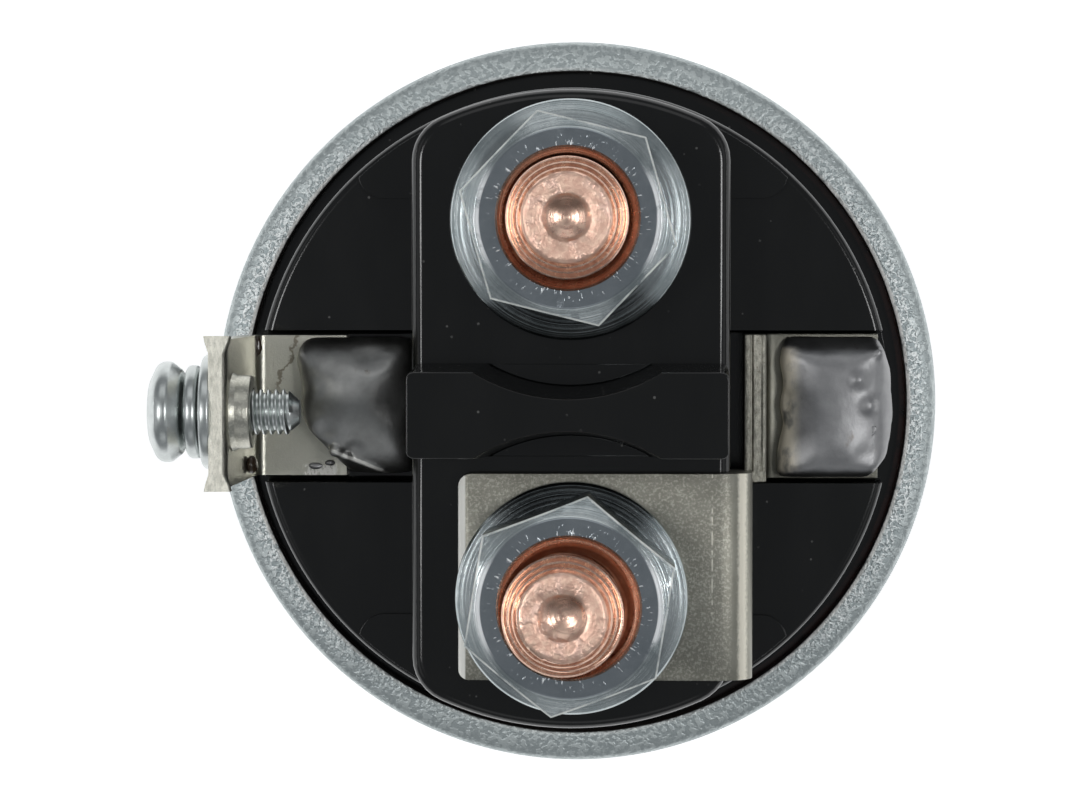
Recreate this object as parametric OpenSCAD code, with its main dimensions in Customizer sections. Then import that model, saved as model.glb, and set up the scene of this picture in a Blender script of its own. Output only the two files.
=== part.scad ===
// Starter solenoid relay: a steel can with a moulded cap crimped into its rim.
// The axis is Z and the mounting face is z = 0. The cap and its studs point up,
// and the plunger hangs out below. Heights named "above the rim" start from the
// top of the can's rolled rim.

/* [Housing can] */
// Outside diameter of the steel can
body_d = 51; // [50:0.5:56]
// Height of the can, from the mounting face to the top of its rolled rim
body_len = 56; // [54:1:70]
// Thickness of the can's wall
can_wall = 1.6; // [1.3:0.1:1.8]
// How far the rolled rim turns in past the wall's inner side
rim_turn = 0.45; // [0.3:0.05:0.6]
// Thickness of the rolled rim
rim_t = 1.5; // [1.2:0.1:2]
// Rounding of the rim's outer edge
rim_round = 1.1; // [0.4:0.1:1.2]
// Thickness of the can's turned-in rear edge
rear_lip_t = 1.2; // [0.8:0.1:1.6]
// How far the rear edge turns in past the wall's inner side
rear_turn = 1; // [0.6:0.1:1.4]

/* [Mounting plate] */
// Thickness of the steel end plate
plate_t = 6; // [5:0.5:8]
// Diameter of the pilot spigot that centres the relay
pilot_d = 27; // [26:0.5:28]
// Height of the pilot spigot
pilot_h = 3; // [2:0.5:4]
// Bore of each tapped mounting hole
tapped_d = 5; // [4:0.1:5.2]
// Place of the tapped holes, as a share of the way from the spigot to the rear edge's bore
tapped_share = 0.5; // [0.48:0.01:0.53]
// Chamfer of the spigot and of the tapped holes
plate_chamfer = 0.4; // [0.2:0.1:0.6]

/* [Coil] */
// Gap between the wound coil and the can's bore
coil_gap = 1.6; // [1.4:0.1:2.9]
// Thickness of the bobbin's tube
bobbin_wall = 1.2; // [0.8:0.1:1.6]
// Thickness of each bobbin flange
bobbin_flange_t = 1.5; // [1:0.1:2]
// Depth of the pull-in winding as a share of the whole winding
pull_in_share = 0.5; // [0.3:0.05:0.7]
// Thickness of the wrap round the windings
wrap_t = 0.5; // [0.3:0.1:0.8]
// Thickness of the rubber ring under the bobbin
cushion_t = 1; // [0.8:0.1:1.5]
// Wall of the brass guide sleeve
sleeve_wall = 0.9; // [0.6:0.1:1]
// Diameter of the coil's lead wires
lead_d = 1.2; // [0.8:0.1:1.4]
// Distance from the can's bore to each lead wire's axis
lead_inset = 6.4; // [6.1:0.1:6.6]

/* [Fixed core] */
// Thickness of the core's plate
core_t = 4.5; // [4:0.5:6]
// Length of the pole below the core's plate
pole_len = 11.5; // [10:0.5:14]
// Depth of the pocket in the core's upper side
core_pocket_depth = 6.5; // [6:0.1:6.8]
// Diameter of that pocket
core_pocket_d = 15.2; // [14.4:0.2:16]

/* [Plunger] */
// Diameter of the plunger
plunger_d = 21; // [20:0.1:21]
// Travel of the plunger
plunger_travel = 10.5; // [9:0.5:10.5]
// Air gap left between the plunger and the pole at full travel
air_gap = 0.3; // [0.2:0.1:0.6]
// How far the plunger's body hangs out of the mounting face
plunger_out = 10; // [8:0.5:14]
// Edge chamfer of the plunger
plunger_chamfer = 0.8; // [0.4:0.1:1.2]
// Diameter of the spring's bore in the plunger
spring_bore_d = 12.8; // [12.4:0.2:14]
// Depth of the spring's bore
spring_bore_depth = 10; // [9:0.5:11]

/* [Lever eye] */
// Width of the flat eye that the shift lever works in
eye_w = 14; // [13:0.5:16]
// Thickness of the eye
eye_t = 7; // [6:0.5:8]
// Length of the eye below the plunger
eye_len = 20; // [19:0.5:24]
// Width of the window for the lever
window_w = 7.2; // [6.5:0.1:8]
// Height of the window for the lever
window_h = 11; // [9:0.5:12]
// Corner radius of the window
window_round = 1; // [0.5:0.1:2]
// Wall left below the window
window_wall = 3; // [2.5:0.1:4]
// Diameter of the eye's stem, riveted into the plunger
stem_d = 9; // [7:0.5:10]
// Length of that stem
stem_len = 8; // [6:0.5:9]

/* [Contact set] */
// Travel of the contact rod
rod_travel = 3.5; // [3:0.1:3.8]
// Travel that the contact spring takes up after the contacts have met
wipe = 0.8; // [0.5:0.1:1.2]
// Gap left between closed contacts
closed_gap = 0.05; // [0.03:0.01:0.1]
// Diameter of the contact rod
rod_d = 4.4; // [4:0.1:5]
// Diameter of the rod's shoulder
shoulder_d = 12.6; // [12:0.2:13.4]
// Thickness of the rod's shoulder
shoulder_t = 1.5; // [1:0.1:2]
// Gap between the moving contact disc and the chamber's sides
disc_gap = 0.4; // [0.4:0.1:1.4]
// Thickness of the moving contact disc
disc_t = 2; // [1.5:0.1:2.4]
// Diameter of the insulating washers beside the disc
insulator_d = 11; // [10:0.5:11.5]
// Thickness of each insulating washer
insulator_t = 1; // [0.8:0.1:1.2]
// Wall of the bush inside the disc
bush_wall = 1; // [0.8:0.1:1.4]
// Diameter of the retaining clip
clip_d = 8.4; // [7.8:0.2:9]
// Thickness of the retaining clip
clip_t = 0.8; // [0.6:0.1:1]
// Length of rod above the clip
rod_end = 3; // [2:0.5:4]
// Gap between the rod and the plunger at full travel
rod_gap = 0.3; // [0.2:0.1:0.5]

/* [Springs] */
// Mean diameter of the plunger's return spring
plunger_spring_d = 10.8; // [10.4:0.1:11.2]
// Wire of the plunger's return spring
plunger_wire_d = 1; // [0.8:0.1:1.1]
// Curls of the plunger's return spring
plunger_spring_turns = 7; // [5:1:8]
// Mean diameter of the contact pressure spring
pressure_spring_d = 10; // [9.6:0.1:10.6]
// Wire of the contact pressure spring
pressure_wire_d = 0.8; // [0.6:0.1:0.9]
// Curls of the contact pressure spring
pressure_spring_turns = 3.5; // [2.5:0.5:4]
// Mean diameter of the contact return spring
return_spring_d = 6.8; // [6.4:0.1:7.2]
// Wire of the contact return spring
return_wire_d = 0.7; // [0.5:0.1:0.8]
// Curls of the contact return spring
return_spring_turns = 6.5; // [4.5:0.5:7]

/* [Cap] */
// Height of the cap's seat inside the can
cap_seat_h = 8; // [7.5:0.5:9]
// Thickness of the rubber gasket under the cap
gasket_t = 1.5; // [1:0.1:2]
// Gap between the rim's inner edge and the cap's crown
crown_gap = 1.55; // [0.95:0.05:1.75]
// Rounding of the crown's upper edge
crown_round = 0.8; // [0.4:0.1:1.2]
// Height of the side wings above the rim
wing_h = 7; // [6.5:0.5:9]
// Height of the stud plateau above the rim
plateau_h = 13; // [12.5:0.5:16]
// Width of the stud plateau
plateau_w = 21.4; // [20.8:0.2:21.6]
// Corner radius of the plateau, seen from above
plateau_corner = 3; // [1:0.5:4]
// Chamfer of the plateau's upper edges
plateau_edge = 0.8; // [0.8:0.1:1.2]
// Height of the barrier wall above the rim
barrier_h = 22; // [20:0.5:24]
// Length of the barrier wall across the plateau
barrier_w = 21; // [20:0.2:21.4]
// Thickness of the barrier wall at its ends
barrier_t = 6; // [5:0.2:7]
// Thickness of the barrier at its waist, between the scoops that clear the nuts
barrier_waist = 2.5; // [2:0.1:3.5]
// Rise of the four corner pads on the wings
pad_h = 0.4; // [0.2:0.1:0.6]
// Width of each pad beside the plateau
pad_w = 4; // [3.6:0.2:5.4]
// Distance of the pads' inner edges from the middle
pad_y = 14.2; // [13:0.2:15]
// Corner radius of the pads
pad_corner = 1.5; // [1:0.1:2]
// Width of the two terminal channels
channel_w = 10.5; // [10.3:0.1:11]
// Height of the channels' floor above the rim
channel_z = 3.8; // [3.6:0.1:4.4]
// Wall between the contact chamber and the crown's side
chamber_wall = 2.5; // [2.2:0.05:2.6]
// Distance from the chamber's side to each lead wire's axis
lead_wall = 2.1; // [1.8:0.05:2.1]
// Height of the chamber's roof above the rim
chamber_z = 1; // [0.8:0.1:1.4]
// Diameter of the return spring's pocket in the roof
pocket_d = 10.4; // [9.6:0.2:11]
// Depth of the return spring's pocket
pocket_depth = 6; // [5:0.5:7]
// Wall between that pocket and the contact heads
pocket_wall = 1.3; // [1.2:0.1:1.6]

/* [Studs and nuts] */
// Thread diameter of the two copper studs
stud_d = 8; // [7:0.5:8]
// Height of the studs' tips above the rim
stud_h = 24.5; // [24:0.5:28]
// Diameter of the plain point of each stud
point_d = 7.4; // [6:0.1:7.4]
// Height of the plain point of each stud
point_h = 1.8; // [1.2:0.1:2]
// Chamfer of the point
point_chamfer = 0.5; // [0.2:0.1:0.7]
// Diameter of the centre mark in each stud's end
centre_d = 2.7; // [2:0.1:3.4]
// Gap between each contact head and the chamber's side
head_gap = 0.4; // [0.3:0.1:0.6]
// Thickness of each contact head
head_t = 6; // [5.5:0.5:6.5]
// Distance between the two flats of each contact head
head_flats = 10.4; // [10:0.1:11]
// Depth of the keyed recess for each head
key_depth = 1; // [0.8:0.1:1.4]
// Thickness of the rubber seal on each head
seal_t = 1; // [0.8:0.1:1.4]
// Radial width of that seal
seal_w = 1.3; // [1:0.1:1.6]
// Width across the flats of the nuts
nut_flats = 13; // [12:0.5:13]
// Height of the nuts
nut_h = 8; // [7:0.5:8.5]
// Diameter of the nuts' flanges
nut_flange_d = 16.4; // [15.5:0.1:16.8]
// Height of the flange's edge
nut_edge_h = 1.2; // [0.8:0.1:1.6]
// Height of the cone above the flange's edge
nut_cone_h = 1.6; // [1.2:0.1:2.4]
// Diameter of the flat ring on top of a nut
nut_top_d = 11.8; // [11:0.1:12]
// Height of the chamfer on the nuts' upper corners
nut_chamfer_h = 0.8; // [0.4:0.1:1.2]
// Diameter of the nuts' countersink
nut_sink_d = 9.2; // [8.8:0.1:9.8]
// Turn of the battery nut about its stud, in degrees
battery_nut_turn = 46; // [0:1:59]
// Turn of the motor nut about its stud, in degrees
motor_nut_turn = 20.6; // [0:0.2:59]

/* [Bus plate] */
// Thickness of the tinned bus plate
bus_t = 1.5; // [1.2:0.1:1.5]
// Reach of the bus plate on the side away from its bend
bus_reach = 7.35; // [6.5:0.05:8.5]
// Reach of the bus plate past the stud, away from the barrier
bus_front = 5.25; // [4.5:0.05:5.5]
// Length that the plate's flange shares with the upright strip
bus_overlap = 0.8; // [0.5:0.1:1]
// Corner radius of the bus plate
bus_corner = 0.8; // [0.4:0.1:1.5]
// Inner radius of the bus plate's bends
bus_bend = 0.7; // [0.5:0.1:0.8]
// Outward step of the upright strip beside the flange
bus_step = 0.9; // [0.5:0.1:1.2]
// Height of the upright strip's edge above the rim
strip_z = 10; // [9.5:0.1:11]
// Width of the upright strip and its soldered tab
strip_w = 10; // [9.6:0.1:10.2]
// Distance from the crown's side to the soldered tab's end
tab_inset = 0.9; // [0.7:0.1:1.9]

/* [Trigger terminal] */
// Thickness of the tinned bracket
bracket_t = 1.2; // [1:0.1:1.4]
// Width of the bracket
bracket_w = 10.1; // [9.8:0.1:10.2]
// Length of the bracket's base
bracket_base = 7.4; // [6.8:0.1:7.8]
// Height of the bracket's top above the rim
bracket_h = 20; // [19.5:0.5:22]
// Inner radius of the bracket's bend
bracket_bend = 0.6; // [0.4:0.1:0.8]
// Height of the screw's axis above the rim
screw_z = 16.6; // [15:0.1:17]
// Thread diameter of the screw
screw_d = 3; // [2.6:0.1:3.5]
// Length of the screw under its head
screw_len = 7.2; // [6.5:0.1:8]
// Diameter of the pan head
screw_head_d = 7; // [6.6:0.1:7.4]
// Height of the pan head
screw_head_h = 2.5; // [2.2:0.1:3]
// Outside diameter of the tapped collar behind the hole
collar_d = 4.9; // [4.4:0.1:5.4]
// Length of the tapped collar
collar_len = 1.3; // [0.8:0.1:1.6]
// Outside diameter of the spring washer
spring_washer_d = 6.2; // [5.6:0.1:6.8]
// Thickness of the spring washer
spring_washer_t = 1.2; // [0.8:0.1:1.2]
// Outside diameter of the plain washer
plain_washer_d = 7.6; // [7:0.1:8.4]
// Thickness of the plain washer
plain_washer_t = 0.9; // [0.6:0.1:1]

/* [Solder joints] */
// Height of the motor side's solder above the rim
motor_solder_h = 7.6; // [7:0.1:8]
// Height of the trigger side's solder above the rim
trigger_solder_h = 8.2; // [7.6:0.1:9]
// Width of the solder in the channels
solder_w = 9.3; // [8.8:0.1:9.8]
// Distance from the crown's side to the trigger side's solder
trigger_solder_inset = 3; // [2.6:0.1:3.8]
// Slope of the solder's sides, as a width
solder_slope = 1.1; // [0.6:0.1:1.4]

/* [Hidden] */

$fn = 96;

// Fits: a seated piece, a sliding piece and a free passage
fit_gap = 0.05;
slide_gap = 0.08;
free_gap = 0.4;
// Overrun of every cut past the face it goes through
cut = 1;

// Radii of the can
can_r = body_d / 2;
can_bore_r = can_r - can_wall;
rim_bore_r = can_bore_r - rim_turn;
rear_bore_r = can_bore_r - rear_turn;
pilot_r = pilot_d / 2;
tapped_x = pilot_r + tapped_share * (rear_bore_r - pilot_r);

// Levels above the mounting face, from the rim down
rim_z = body_len;
seat_top_z = rim_z - rim_t;
seat_z = seat_top_z - cap_seat_h;
core_top_z = seat_z - gasket_t;
core_z = core_top_z - core_t;
pole_z = core_z - pole_len;
cushion_z = plate_t;
bobbin_z = cushion_z + cushion_t;
bobbin_len = core_z - bobbin_z;

// Levels of the cap
wing_z = rim_z + wing_h;
plateau_z = rim_z + plateau_h;
barrier_z = rim_z + barrier_h;
floor_z = rim_z + channel_z;
roof_z = rim_z + chamber_z;

// Radii of the guide sleeve and the coil
plunger_r = plunger_d / 2;
sleeve_bore_r = plunger_r + slide_gap;
sleeve_r = sleeve_bore_r + sleeve_wall;
bobbin_bore_r = sleeve_r + fit_gap;
bobbin_r = bobbin_bore_r + bobbin_wall;
flange_r = can_bore_r - free_gap;
winding_z = bobbin_z + bobbin_flange_t;
winding_len = bobbin_len - 2 * bobbin_flange_t;
coil_r = can_bore_r - coil_gap;
lead_x = can_bore_r - lead_inset;
winding_depth = coil_r - wrap_t - bobbin_r;
pull_in_r = bobbin_r + pull_in_share * winding_depth;
hold_in_r = coil_r - wrap_t;

// Levels of the plunger at rest
plunger_top_z = pole_z - plunger_travel - air_gap;
bore_floor_z = plunger_top_z - spring_bore_depth;

// Levels of the contact set at rest
pocket_floor_z = core_top_z - core_pocket_depth;
shoulder_z = pocket_floor_z + fit_gap;
pressure_z = shoulder_z + shoulder_t;
head_z = roof_z + key_depth - head_t;
disc_top_z = head_z - closed_gap - (rod_travel - wipe);
disc_z = disc_top_z - disc_t;
lower_insulator_z = disc_z - insulator_t;
clip_z = disc_top_z + insulator_t;
rod_top_z = clip_z + clip_t + rod_end;
rod_z = bore_floor_z + rod_gap + plunger_travel - rod_travel;
return_z = clip_z + clip_t;
pocket_roof_z = roof_z + pocket_depth;
rod_r = rod_d / 2;

// Places on the cap
crown_r = rim_bore_r - crown_gap;
chamber_r = crown_r - chamber_wall;
chamber_half = lead_x - lead_wall;
pocket_r = pocket_d / 2;
head_r = (chamber_r - head_gap - pocket_r - pocket_wall) / 2;
stud_y = pocket_r + pocket_wall + head_r;
stud_r = stud_d / 2;
point_z = rim_z + stud_h - point_h;
plateau_half = plateau_w / 2;
plateau_arc_r = crown_r - crown_round / 2;
bus_z = plateau_z + bus_t;

// Places of the trigger terminal
bracket_x = crown_r + fit_gap;
bracket_out_x = bracket_x + bracket_t;
washer_x = bracket_out_x + plain_washer_t;
head_x = washer_x + spring_washer_t;
screw_axis_z = rim_z + screw_z;
base_top_z = floor_z + bracket_t;
tab_top_z = floor_z + bus_t;

// Shares of the screw that shape its pointed end, its dome and its cross recess
tip_share = 0.2;
dome_share = 0.45;
recess_width_share = 0.16;
recess_length_share = 0.56;
recess_depth_share = 0.6;

// Rings for each curl and sides of a spring's wire
curl_rings = 8;
wire_sides = 6;
// Facets of the shapes that are hulls
hull_facets = 32;

// Centre of the spring's wire at a share of its length
function spring_point(d, low, high, turns, share) =
    let (a = 360 * turns * share)
    [d / 2 * cos(a), d / 2 * sin(a), low + (high - low) * share];

// Corner number k of the wire's section at a share of its length
function wire_corner(d, wire, low, high, turns, share, k) =
    let (
        a = 360 * turns * share,
        b = 360 * k / wire_sides,
        reach = wire / 2 * cos(b),
        rise = wire / 2 * sin(b),
        lean = atan2(high - low, PI * d * turns),
        centre = spring_point(d, low, high, turns, share)
    )
    centre + [
        reach * cos(a) + rise * sin(lean) * sin(a),
        reach * sin(a) - rise * sin(lean) * cos(a),
        rise * cos(lean)
    ];

// Least gap between neighbouring curls, measured on the wire's centre points
function spring_gap(d, wire, low, high, turns) =
    let (
        steps = round(curl_rings * turns),
        points = [for (i = [0 : steps]) spring_point(d, low, high, turns, i / steps)]
    )
    min([for (i = [0 : steps], j = [0 : steps])
        if (j - i >= curl_rings / 2) norm(points[j] - points[i])]) - wire;

// One unbroken helical wire between two seats
module coil_spring(d, wire, seat_low, seat_high, turns) {
    low = seat_low + wire / 2 + fit_gap;
    high = seat_high - wire / 2 - fit_gap;
    steps = round(curl_rings * turns);
    corners = [for (i = [0 : steps], k = [0 : wire_sides - 1])
        wire_corner(d, wire, low, high, turns, i / steps, k)];
    sides = [for (i = [0 : steps - 1], k = [0 : wire_sides - 1])
        let (a = i * wire_sides + k, b = i * wire_sides + (k + 1) % wire_sides)
        each [[a, a + wire_sides, b], [b, a + wire_sides, b + wire_sides]]];
    ends = [for (k = [1 : wire_sides - 2])
        each [[0, k, k + 1],
            [steps * wire_sides, steps * wire_sides + k + 1, steps * wire_sides + k]]];
    polyhedron(points = corners, faces = concat(sides, ends));
}

// A tube from one level to another
module tube(r, bore_r, low, high) {
    difference() {
        translate([0, 0, low]) cylinder(r = r, h = high - low);
        translate([0, 0, low - cut]) cylinder(r = bore_r, h = high - low + 2 * cut);
    }
}

// A rectangle round the middle, with round corners
module round_rect(w, l, r) {
    square([w, l - 2 * r], center = true);
    square([w - 2 * r, l], center = true);
    for (x = [-1, 1], y = [-1, 1])
        translate([x * (w / 2 - r), y * (l / 2 - r)]) circle(r = r);
}

// An angle section: a level leg of length run, then a leg down of length drop
module angle_section(run, drop, t, bend) {
    corner = bend + t;
    translate([0, -t]) square([run - corner, t]);
    translate([run - t, -drop]) square([t, drop - corner]);
    intersection() {
        translate([run - corner, -corner]) square(corner);
        translate([run - corner, -corner]) difference() {
            circle(r = corner);
            circle(r = bend);
        }
    }
}

// Stands an outline drawn in X and Z upright, from one Y to another
module upright(y_low, y_high) {
    translate([0, y_high, 0]) rotate([90, 0, 0])
        linear_extrude(height = y_high - y_low) children();
}

// Housing and magnet

module housing_can() {
    color("#9aa5ab")
    rotate_extrude() {
        translate([can_bore_r, 0]) square([can_wall, rim_z - rim_round]);
        translate([can_bore_r, 0]) square([can_wall - rim_round, rim_z]);
        intersection() {
            translate([can_r - rim_round, rim_z - rim_round]) circle(r = rim_round);
            translate([can_bore_r, 0]) square([can_wall, rim_z]);
        }
        translate([rim_bore_r, seat_top_z]) square([can_r - rim_round - rim_bore_r, rim_t]);
        translate([rear_bore_r, 0]) square([rear_turn + can_wall / 2, rear_lip_t]);
    }
}

module mounting_plate() {
    color("#8f989c")
    difference() {
        union() {
            translate([0, 0, rear_lip_t + fit_gap])
                cylinder(r = can_bore_r - fit_gap, h = plate_t - rear_lip_t - fit_gap);
            cylinder(r = rear_bore_r - fit_gap, h = plate_t);
            translate([0, 0, plate_chamfer - pilot_h]) cylinder(r = pilot_r, h = pilot_h);
            translate([0, 0, -pilot_h])
                cylinder(r1 = pilot_r - plate_chamfer, r2 = pilot_r, h = plate_chamfer);
        }
        translate([0, 0, -pilot_h - cut])
            cylinder(r = sleeve_r + fit_gap, h = pilot_h + plate_t + 2 * cut);
        for (side = [-1, 1]) translate([side * tapped_x, 0, 0]) {
            translate([0, 0, -cut]) cylinder(r = tapped_d / 2, h = plate_t + 2 * cut);
            translate([0, 0, -plate_chamfer])
                cylinder(r1 = tapped_d / 2 + 2 * plate_chamfer, r2 = tapped_d / 2,
                    h = 2 * plate_chamfer);
        }
    }
}

module coil_cushion() {
    color("#26282a")
    tube(flange_r, bobbin_r, cushion_z, bobbin_z);
}

module coil_bobbin() {
    color("#d9d3bd")
    difference() {
        union() {
            translate([0, 0, bobbin_z]) cylinder(r = bobbin_r, h = bobbin_len);
            translate([0, 0, bobbin_z]) cylinder(r = flange_r, h = bobbin_flange_t);
            translate([0, 0, core_z - bobbin_flange_t])
                cylinder(r = flange_r, h = bobbin_flange_t);
        }
        translate([0, 0, bobbin_z - cut])
            cylinder(r = bobbin_bore_r, h = bobbin_len + 2 * cut);
        for (side = [-1, 1]) lead_passage(side, winding_z + winding_len, core_z + cut);
    }
}

module guide_sleeve() {
    color("#b9963f")
    tube(sleeve_r, sleeve_bore_r, fit_gap - pilot_h, pole_z + pole_len / 2);
}

module pull_in_winding() {
    color("#a8572c")
    tube(pull_in_r, bobbin_r + fit_gap, winding_z, winding_z + winding_len);
}

module hold_in_winding() {
    color("#b3622f")
    tube(hold_in_r, pull_in_r + fit_gap, winding_z, winding_z + winding_len);
}

module winding_wrap() {
    color("#e6d9a8")
    tube(coil_r, hold_in_r + fit_gap, winding_z, winding_z + winding_len);
}

// Straight hole for a lead wire, beside the axis
module lead_passage(side, low, high, gap = fit_gap) {
    translate([side * lead_x, 0, low]) cylinder(r = lead_d / 2 + gap, h = high - low);
}

module motor_lead() {
    color("#a8572c")
    translate([lead_x, 0, winding_z + winding_len])
        cylinder(r = lead_d / 2, h = tab_top_z - winding_z - winding_len);
}

module trigger_lead() {
    color("#b3622f")
    translate([-lead_x, 0, winding_z + winding_len])
        cylinder(r = lead_d / 2, h = base_top_z - winding_z - winding_len);
}

module fixed_core() {
    color("#7d8487")
    difference() {
        union() {
            translate([0, 0, core_z]) cylinder(r = can_bore_r - fit_gap, h = core_t);
            translate([0, 0, pole_z]) cylinder(r = sleeve_bore_r - fit_gap, h = pole_len);
        }
        translate([0, 0, pole_z - cut])
            cylinder(r = rod_r + slide_gap, h = core_top_z - pole_z + 2 * cut);
        translate([0, 0, pocket_floor_z])
            cylinder(r = core_pocket_d / 2, h = core_pocket_depth + cut);
        for (side = [-1, 1]) lead_passage(side, core_z - cut, core_top_z + cut, free_gap);
    }
}

// Plunger

module plunger() {
    end_r = plunger_r - plunger_chamfer;
    color("#a3abae")
    difference() {
        rotate_extrude() polygon([[0, -plunger_out], [end_r, -plunger_out],
            [plunger_r, plunger_chamfer - plunger_out],
            [plunger_r, plunger_top_z - plunger_chamfer], [end_r, plunger_top_z],
            [0, plunger_top_z]]);
        translate([0, 0, bore_floor_z])
            cylinder(r = spring_bore_d / 2, h = spring_bore_depth + cut);
        translate([0, 0, -plunger_out - cut])
            cylinder(r = stem_d / 2 + fit_gap, h = stem_len + fit_gap + cut);
    }
}

module lever_eye() {
    window_z = -plunger_out - eye_len + window_wall;
    color("#8a9296") {
        translate([0, 0, -plunger_out - fit_gap]) cylinder(r = stem_d / 2, h = stem_len + fit_gap);
        translate([-eye_t / 2, 0, 0]) rotate([90, 0, 90])
            linear_extrude(height = eye_t) difference() {
                union() {
                    translate([-eye_w / 2, eye_w / 2 - plunger_out - eye_len])
                        square([eye_w, eye_len - eye_w / 2 - fit_gap]);
                    translate([0, eye_w / 2 - plunger_out - eye_len]) circle(r = eye_w / 2);
                }
                translate([0, window_z + window_h / 2])
                    round_rect(window_w, window_h, window_round);
            }
    }
}

module plunger_spring() {
    color("#b5bcbf")
    coil_spring(plunger_spring_d, plunger_wire_d, bore_floor_z, pole_z, plunger_spring_turns);
}

// Contact set

module contact_rod() {
    color("#b0b7ba")
    difference() {
        union() {
            translate([0, 0, rod_z]) cylinder(r = rod_r, h = rod_top_z - rod_z);
            translate([0, 0, shoulder_z]) cylinder(r = shoulder_d / 2, h = shoulder_t);
        }
        tube(rod_r + cut, clip_groove_r(), clip_z, clip_z + clip_t);
    }
}

// Radius of the rod at the bottom of the clip's groove
function clip_groove_r() = rod_r - clip_t / 2;

module retaining_clip() {
    gap_w = rod_r;
    color("#5c6468")
    difference() {
        tube(clip_d / 2, clip_groove_r() + fit_gap, clip_z + fit_gap,
            clip_z + clip_t - fit_gap);
        translate([0, -gap_w / 2, clip_z]) cube([clip_d, gap_w, clip_t]);
    }
}

module lower_insulator() {
    color("#8c3b24")
    tube(insulator_d / 2, rod_r + slide_gap, lower_insulator_z, disc_z);
}

module upper_insulator() {
    bush_r = rod_r + slide_gap + bush_wall;
    color("#8c3b24") {
        tube(insulator_d / 2, rod_r + slide_gap, disc_top_z, clip_z);
        tube(bush_r, rod_r + slide_gap, disc_z, disc_top_z);
    }
}

module contact_disc() {
    color("#b87349")
    tube(chamber_half - disc_gap, rod_r + slide_gap + bush_wall + fit_gap, disc_z,
        disc_top_z);
}

module pressure_spring() {
    color("#b5bcbf")
    coil_spring(pressure_spring_d, pressure_wire_d, pressure_z, lower_insulator_z,
        pressure_spring_turns);
}

module return_spring() {
    color("#b5bcbf")
    coil_spring(return_spring_d, return_wire_d, return_z, pocket_roof_z,
        return_spring_turns);
}

// Cap and studs

module cap_gasket() {
    color("#1d1f20")
    tube(can_bore_r - fit_gap, chamber_r + seal_w / 2, core_top_z, seat_z);
}

// The crown's plan, with the wings cut off beside the plateau and its corners rounded
module plateau_plan() {
    corner_x = plateau_half - plateau_corner;
    corner_y = sqrt(pow(plateau_arc_r - plateau_corner, 2) - pow(corner_x, 2));
    lean = atan2(corner_x, corner_y);
    square([plateau_w, 2 * corner_y], center = true);
    for (end = [-1, 1]) scale([1, end]) {
        intersection() {
            circle(r = plateau_arc_r);
            polygon([[0, 0], [-crown_r * tan(lean), crown_r], [crown_r * tan(lean), crown_r]]);
        }
        for (side = [-1, 1]) translate([side * corner_x, corner_y]) circle(r = plateau_corner);
    }
}

// The raised block that carries the studs, with its upper edges chamfered
module plateau() {
    inner_x = plateau_half - plateau_edge;
    outer_x = plateau_half + cut;
    edge_z = plateau_z - plateau_edge;
    difference() {
        intersection() {
            translate([0, 0, seat_z]) linear_extrude(height = plateau_z - seat_z)
                plateau_plan();
            union() {
                translate([0, 0, seat_z]) cylinder(r = crown_r, h = edge_z - seat_z);
                translate([0, 0, edge_z])
                    cylinder(r1 = plateau_arc_r, r2 = plateau_arc_r - plateau_edge,
                        h = plateau_edge);
            }
        }
        upright(-crown_r, crown_r) for (side = [-1, 1]) scale([side, 1])
            polygon([[inner_x, plateau_z], [plateau_half, edge_z], [outer_x, edge_z],
                [outer_x, plateau_z + cut], [inner_x, plateau_z + cut]]);
    }
}

// Plan of one stud's contact head, with two flats
module head_plan(gap = 0) {
    intersection() {
        circle(r = head_r + gap);
        square([head_flats + 2 * gap, 2 * (head_r + gap)], center = true);
    }
}

// Rounded plan of one corner pad on a wing
module pad_plan() {
    pad_l = crown_r - pad_y;
    intersection() {
        circle(r = crown_r - crown_round);
        translate([plateau_half, pad_y + pad_l / 2]) round_rect(2 * pad_w, pad_l, pad_corner);
    }
}

module terminal_cap() {
    color("#141516")
    difference() {
        union() {
            translate([0, 0, seat_z]) cylinder(r = can_bore_r - fit_gap, h = cap_seat_h);
            rotate_extrude() {
                translate([0, seat_z]) square([crown_r, wing_z - crown_round - seat_z]);
                translate([0, seat_z]) square([crown_r - crown_round, wing_z - seat_z]);
                intersection() {
                    translate([crown_r - crown_round, wing_z - crown_round])
                        circle(r = crown_round);
                    translate([0, seat_z]) square([crown_r, wing_z - seat_z]);
                }
            }
            plateau();
            for (side = [-1, 1], end = [-1, 1]) scale([side, end, 1])
                translate([0, 0, wing_z - pad_h]) linear_extrude(height = 2 * pad_h) pad_plan();
            barrier();
        }
        channels();
        chamber();
        for (end = [-1, 1]) translate([0, end * stud_y, 0]) stud_passage();
        for (side = [-1, 1]) lead_passage(side, seat_z - cut, floor_z + cut);
    }
}

// The wall between the two studs, hollowed where each nut's socket turns
module barrier() {
    scoop_r = stud_y - barrier_waist / 2;
    difference() {
        translate([-barrier_w / 2, -barrier_t / 2, plateau_z - cut])
            cube([barrier_w, barrier_t, barrier_z - plateau_z + cut]);
        for (end = [-1, 1]) translate([0, end * stud_y, plateau_z])
            cylinder(r = scoop_r, h = barrier_z - plateau_z + cut);
    }
}

// The two channels, open to the side, that hold the soldered terminals
module channels() {
    reach = crown_r + cut - plateau_half;
    for (side = [-1, 1])
        translate([side * (plateau_half + reach / 2) - reach / 2, -channel_w / 2, floor_z])
            cube([reach, channel_w, wing_h]);
}

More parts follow.
